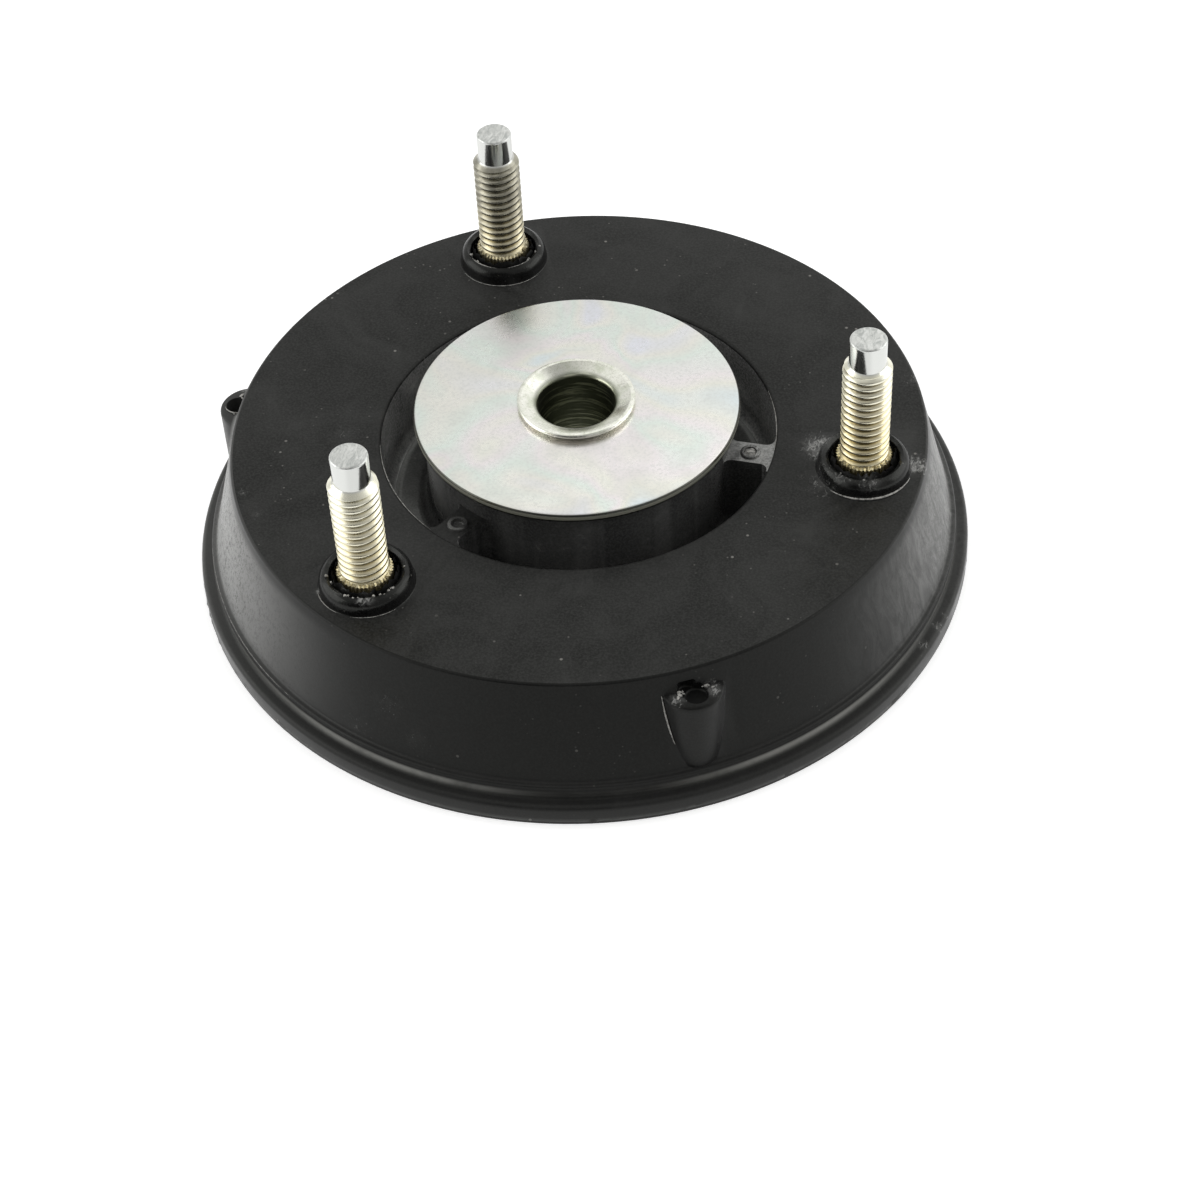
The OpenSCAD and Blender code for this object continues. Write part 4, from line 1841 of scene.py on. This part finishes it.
@dataclass
class Studio:
    """Floor, soft light and camera at the photograph's angle, in metres and degrees."""

    BACK_LEFT: ClassVar[Colour] = (0.87, 0.87, 0.86)
    BACK_RIGHT: ClassVar[Colour] = (1.28, 1.28, 1.27)
    BACK_HIGH: ClassVar[Colour] = (0.5, 0.5, 0.49)
    FRONT: ClassVar[Colour] = (0.45, 0.45, 0.45)
    CARD: ClassVar[Colour] = (0.03, 0.03, 0.03)
    ROOF_LEFT: ClassVar[Colour] = (0.85, 0.85, 0.83)
    ROOF_RIGHT: ClassVar[Colour] = (0.36, 0.36, 0.35)
    WHITE: ClassVar[Colour] = (1.0, 1.0, 1.0)

    eye: tuple[float, float, float] = (0.00254, -0.41374, 0.39999)
    down: float = 45.54
    roll: float = -3.27
    lens: float = 79.9
    sensor: float = 36.0
    clip: float = 0.01
    aim: tuple[float, float, float] = (0.0, 0.0, 0.03)
    floor_side: float = 8.0
    floor_pale: float = 0.86
    floor_glow: float = 0.52
    mirror_glow: float = 1.18
    mirror_dim: float = 0.87
    card_turn: float = -12.0

    def floor(self) -> None:
        """Lays a pale floor that reads white and keeps the shadow."""
        Bench.clear()
        bpy.ops.mesh.primitive_plane_add(size=self.floor_side)
        floor = bpy.context.object
        floor.name = "floor"
        material = bpy.data.materials.new("pale_floor")
        material.use_nodes = True
        brew = Brew(material.node_tree)
        matt = brew.node("ShaderNodeBsdfDiffuse", sockets={"Color": (*(self.floor_pale,) * 3, 1.0)})
        camera, glossy, clear = self.rays(brew)
        glow = brew.node("ShaderNodeEmission", sockets={"Strength": self.floor_glow})
        lit = brew.node("ShaderNodeAddShader", sockets={0: matt, 1: glow})
        lit = brew.node("ShaderNodeMixShader", sockets={0: camera.most(clear), 1: matt, 2: lit})
        beside = brew.along(PHOTO_TURN).size().span(50.0, 100.0)
        mirrored = brew.node("ShaderNodeEmission", sockets={
            "Color": brew.blend(beside, (self.mirror_dim,) * 3, self.WHITE), "Strength": self.mirror_glow,
        })
        shown = brew.node("ShaderNodeMixShader", sockets={0: glossy, 1: lit, 2: mirrored})
        brew.node("ShaderNodeOutputMaterial", sockets={"Surface": shown})
        floor.data.materials.append(material)

    @staticmethod
    def rays(brew: Brew) -> tuple[Flow, Flow, Flow]:
        """Gives the kinds of ray that show the floor.

        Args:
            brew: Node tree to use.

        Returns:
            1 for a camera ray, a glossy ray and a transmission ray.
        """
        path = brew.node("ShaderNodeLightPath").socket.node.outputs
        camera, glossy, clear = (
            Flow(brew, path[name]) for name in ("Is Camera Ray", "Is Glossy Ray", "Is Transmission Ray")
        )
        return camera, glossy, clear

    def world(self) -> None:
        """Wraps the mount in a pale tent that is darker towards the camera."""
        world = bpy.data.worlds.new("tent")
        bpy.context.scene.world = world
        world.use_nodes = True
        brew = Brew(world.node_tree)
        way = brew.node("ShaderNodeTexCoord", out="Generated")
        turn = Matrix.Rotation(PHOTO_TURN, 3, "Z")
        facing = brew.facing(way, turn @ Vector((0.0, -1.0, 0.0)))
        aside = brew.facing(way, turn @ Vector((1.0, 0.0, 0.0)))
        up = brew.facing(way, Vector((0.0, 0.0, 1.0)))
        back = brew.blend(aside.span(-0.45, 0.45), self.BACK_LEFT, self.BACK_RIGHT)
        back = brew.blend(up.span(0.76, 0.58) * 0.4, back, self.BACK_HIGH)
        tent = brew.blend(facing.span(-0.15, 0.7), back, self.FRONT)
        card_turn = Matrix.Rotation(PHOTO_TURN + math.radians(self.card_turn), 3, "Z")
        card = brew.facing(way, card_turn @ Vector((0.0, -0.966, 0.259)))
        tent = brew.blend(card.span(0.84, 0.93), tent, self.CARD)
        roof = brew.blend(aside.span(-0.5, 0.3), self.ROOF_LEFT, self.ROOF_RIGHT)
        tent = brew.blend(up.span(0.82, 0.95), tent, roof)
        lit = brew.node("ShaderNodeBackground", sockets={"Color": tent})
        white = brew.node("ShaderNodeBackground", sockets={"Color": (*self.WHITE, 1.0)})
        path = brew.node("ShaderNodeLightPath", out="Is Camera Ray")
        shown = brew.node("ShaderNodeMixShader", sockets={0: path, 1: lit, 2: white})
        brew.node("ShaderNodeOutputWorld", sockets={"Surface": shown})

    def lamp(self, name: str, spot: tuple[float, float, float], size: Flat, power: float) -> None:
        """Hangs a softbox that points at the mount.

        Args:
            name: Name of the lamp.
            spot: Place seen from the camera's side, in metres.
            size: Width and height of the box.
            power: Power in watts.
        """
        Bench.clear()
        bpy.ops.object.light_add(type="AREA")
        lamp = bpy.context.object
        lamp.name = name
        lamp.data.shape = "RECTANGLE"
        lamp.data.size, lamp.data.size_y = size
        lamp.data.energy = power
        place = Matrix.Rotation(PHOTO_TURN, 3, "Z") @ Vector(spot)
        lamp.location = place
        lamp.rotation_euler = (Vector(self.aim) - place).to_track_quat("-Z", "Y").to_euler()

    def camera(self) -> None:
        """Sets the camera at the photograph's viewpoint."""
        bpy.ops.object.camera_add()
        camera = bpy.context.object
        camera.data.lens = self.lens
        camera.data.sensor_width = self.sensor
        turn = Matrix.Rotation(PHOTO_TURN, 4, "Z")
        tilt = Matrix.Rotation(math.radians(90.0 - self.down), 4, "X")
        roll = Matrix.Rotation(math.radians(self.roll), 4, "Z")
        camera.matrix_world = turn @ Matrix.Translation(self.eye) @ tilt @ roll
        camera.data.clip_start = self.clip
        bpy.context.scene.camera = camera

    def build(self) -> None:
        """Sets up the whole studio."""
        bpy.context.scene.view_settings.view_transform = "Standard"
        self.floor()
        self.world()
        self.lamp("left_box", (-0.8, -0.05, 0.4), (0.9, 0.6), 2.7)
        self.lamp("right_box", (0.85, 0.05, 0.4), (0.8, 0.6), 2.1)
        self.camera()


def dress_plate() -> None:
    """Paints the pressing, whose solid stays as it is."""
    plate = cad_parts["carrier_plate"]
    plate.data.materials.clear()
    plate.data.materials.append(PaintedSteel("painted_steel").material())


def main() -> None:
    """Builds the studio and every piece of the mount."""
    logging.basicConfig(level=logging.INFO, format="%(name)s %(message)s")
    Studio().build()
    parts = (
        RubberBell(), Flash(), CrumbsAndHighlights(), Studs(), Sleeve(),
        Washer("upper_plate_washer", "upper_washer", outer_r=33.75, low=35.0, high=36.8),
        Washer("lower_plate_washer", "lower_washer", outer_r=30.0, low=3.0, high=5.5),
    )
    for part in parts:
        piece = part.build()
        LOG.info("%s: %d faces", piece.name, len(piece.data.polygons))
    dress_plate()
    LOG.info("carrier_plate: painted")
    Bench.clear()


if __name__ == "__main__":
    main()
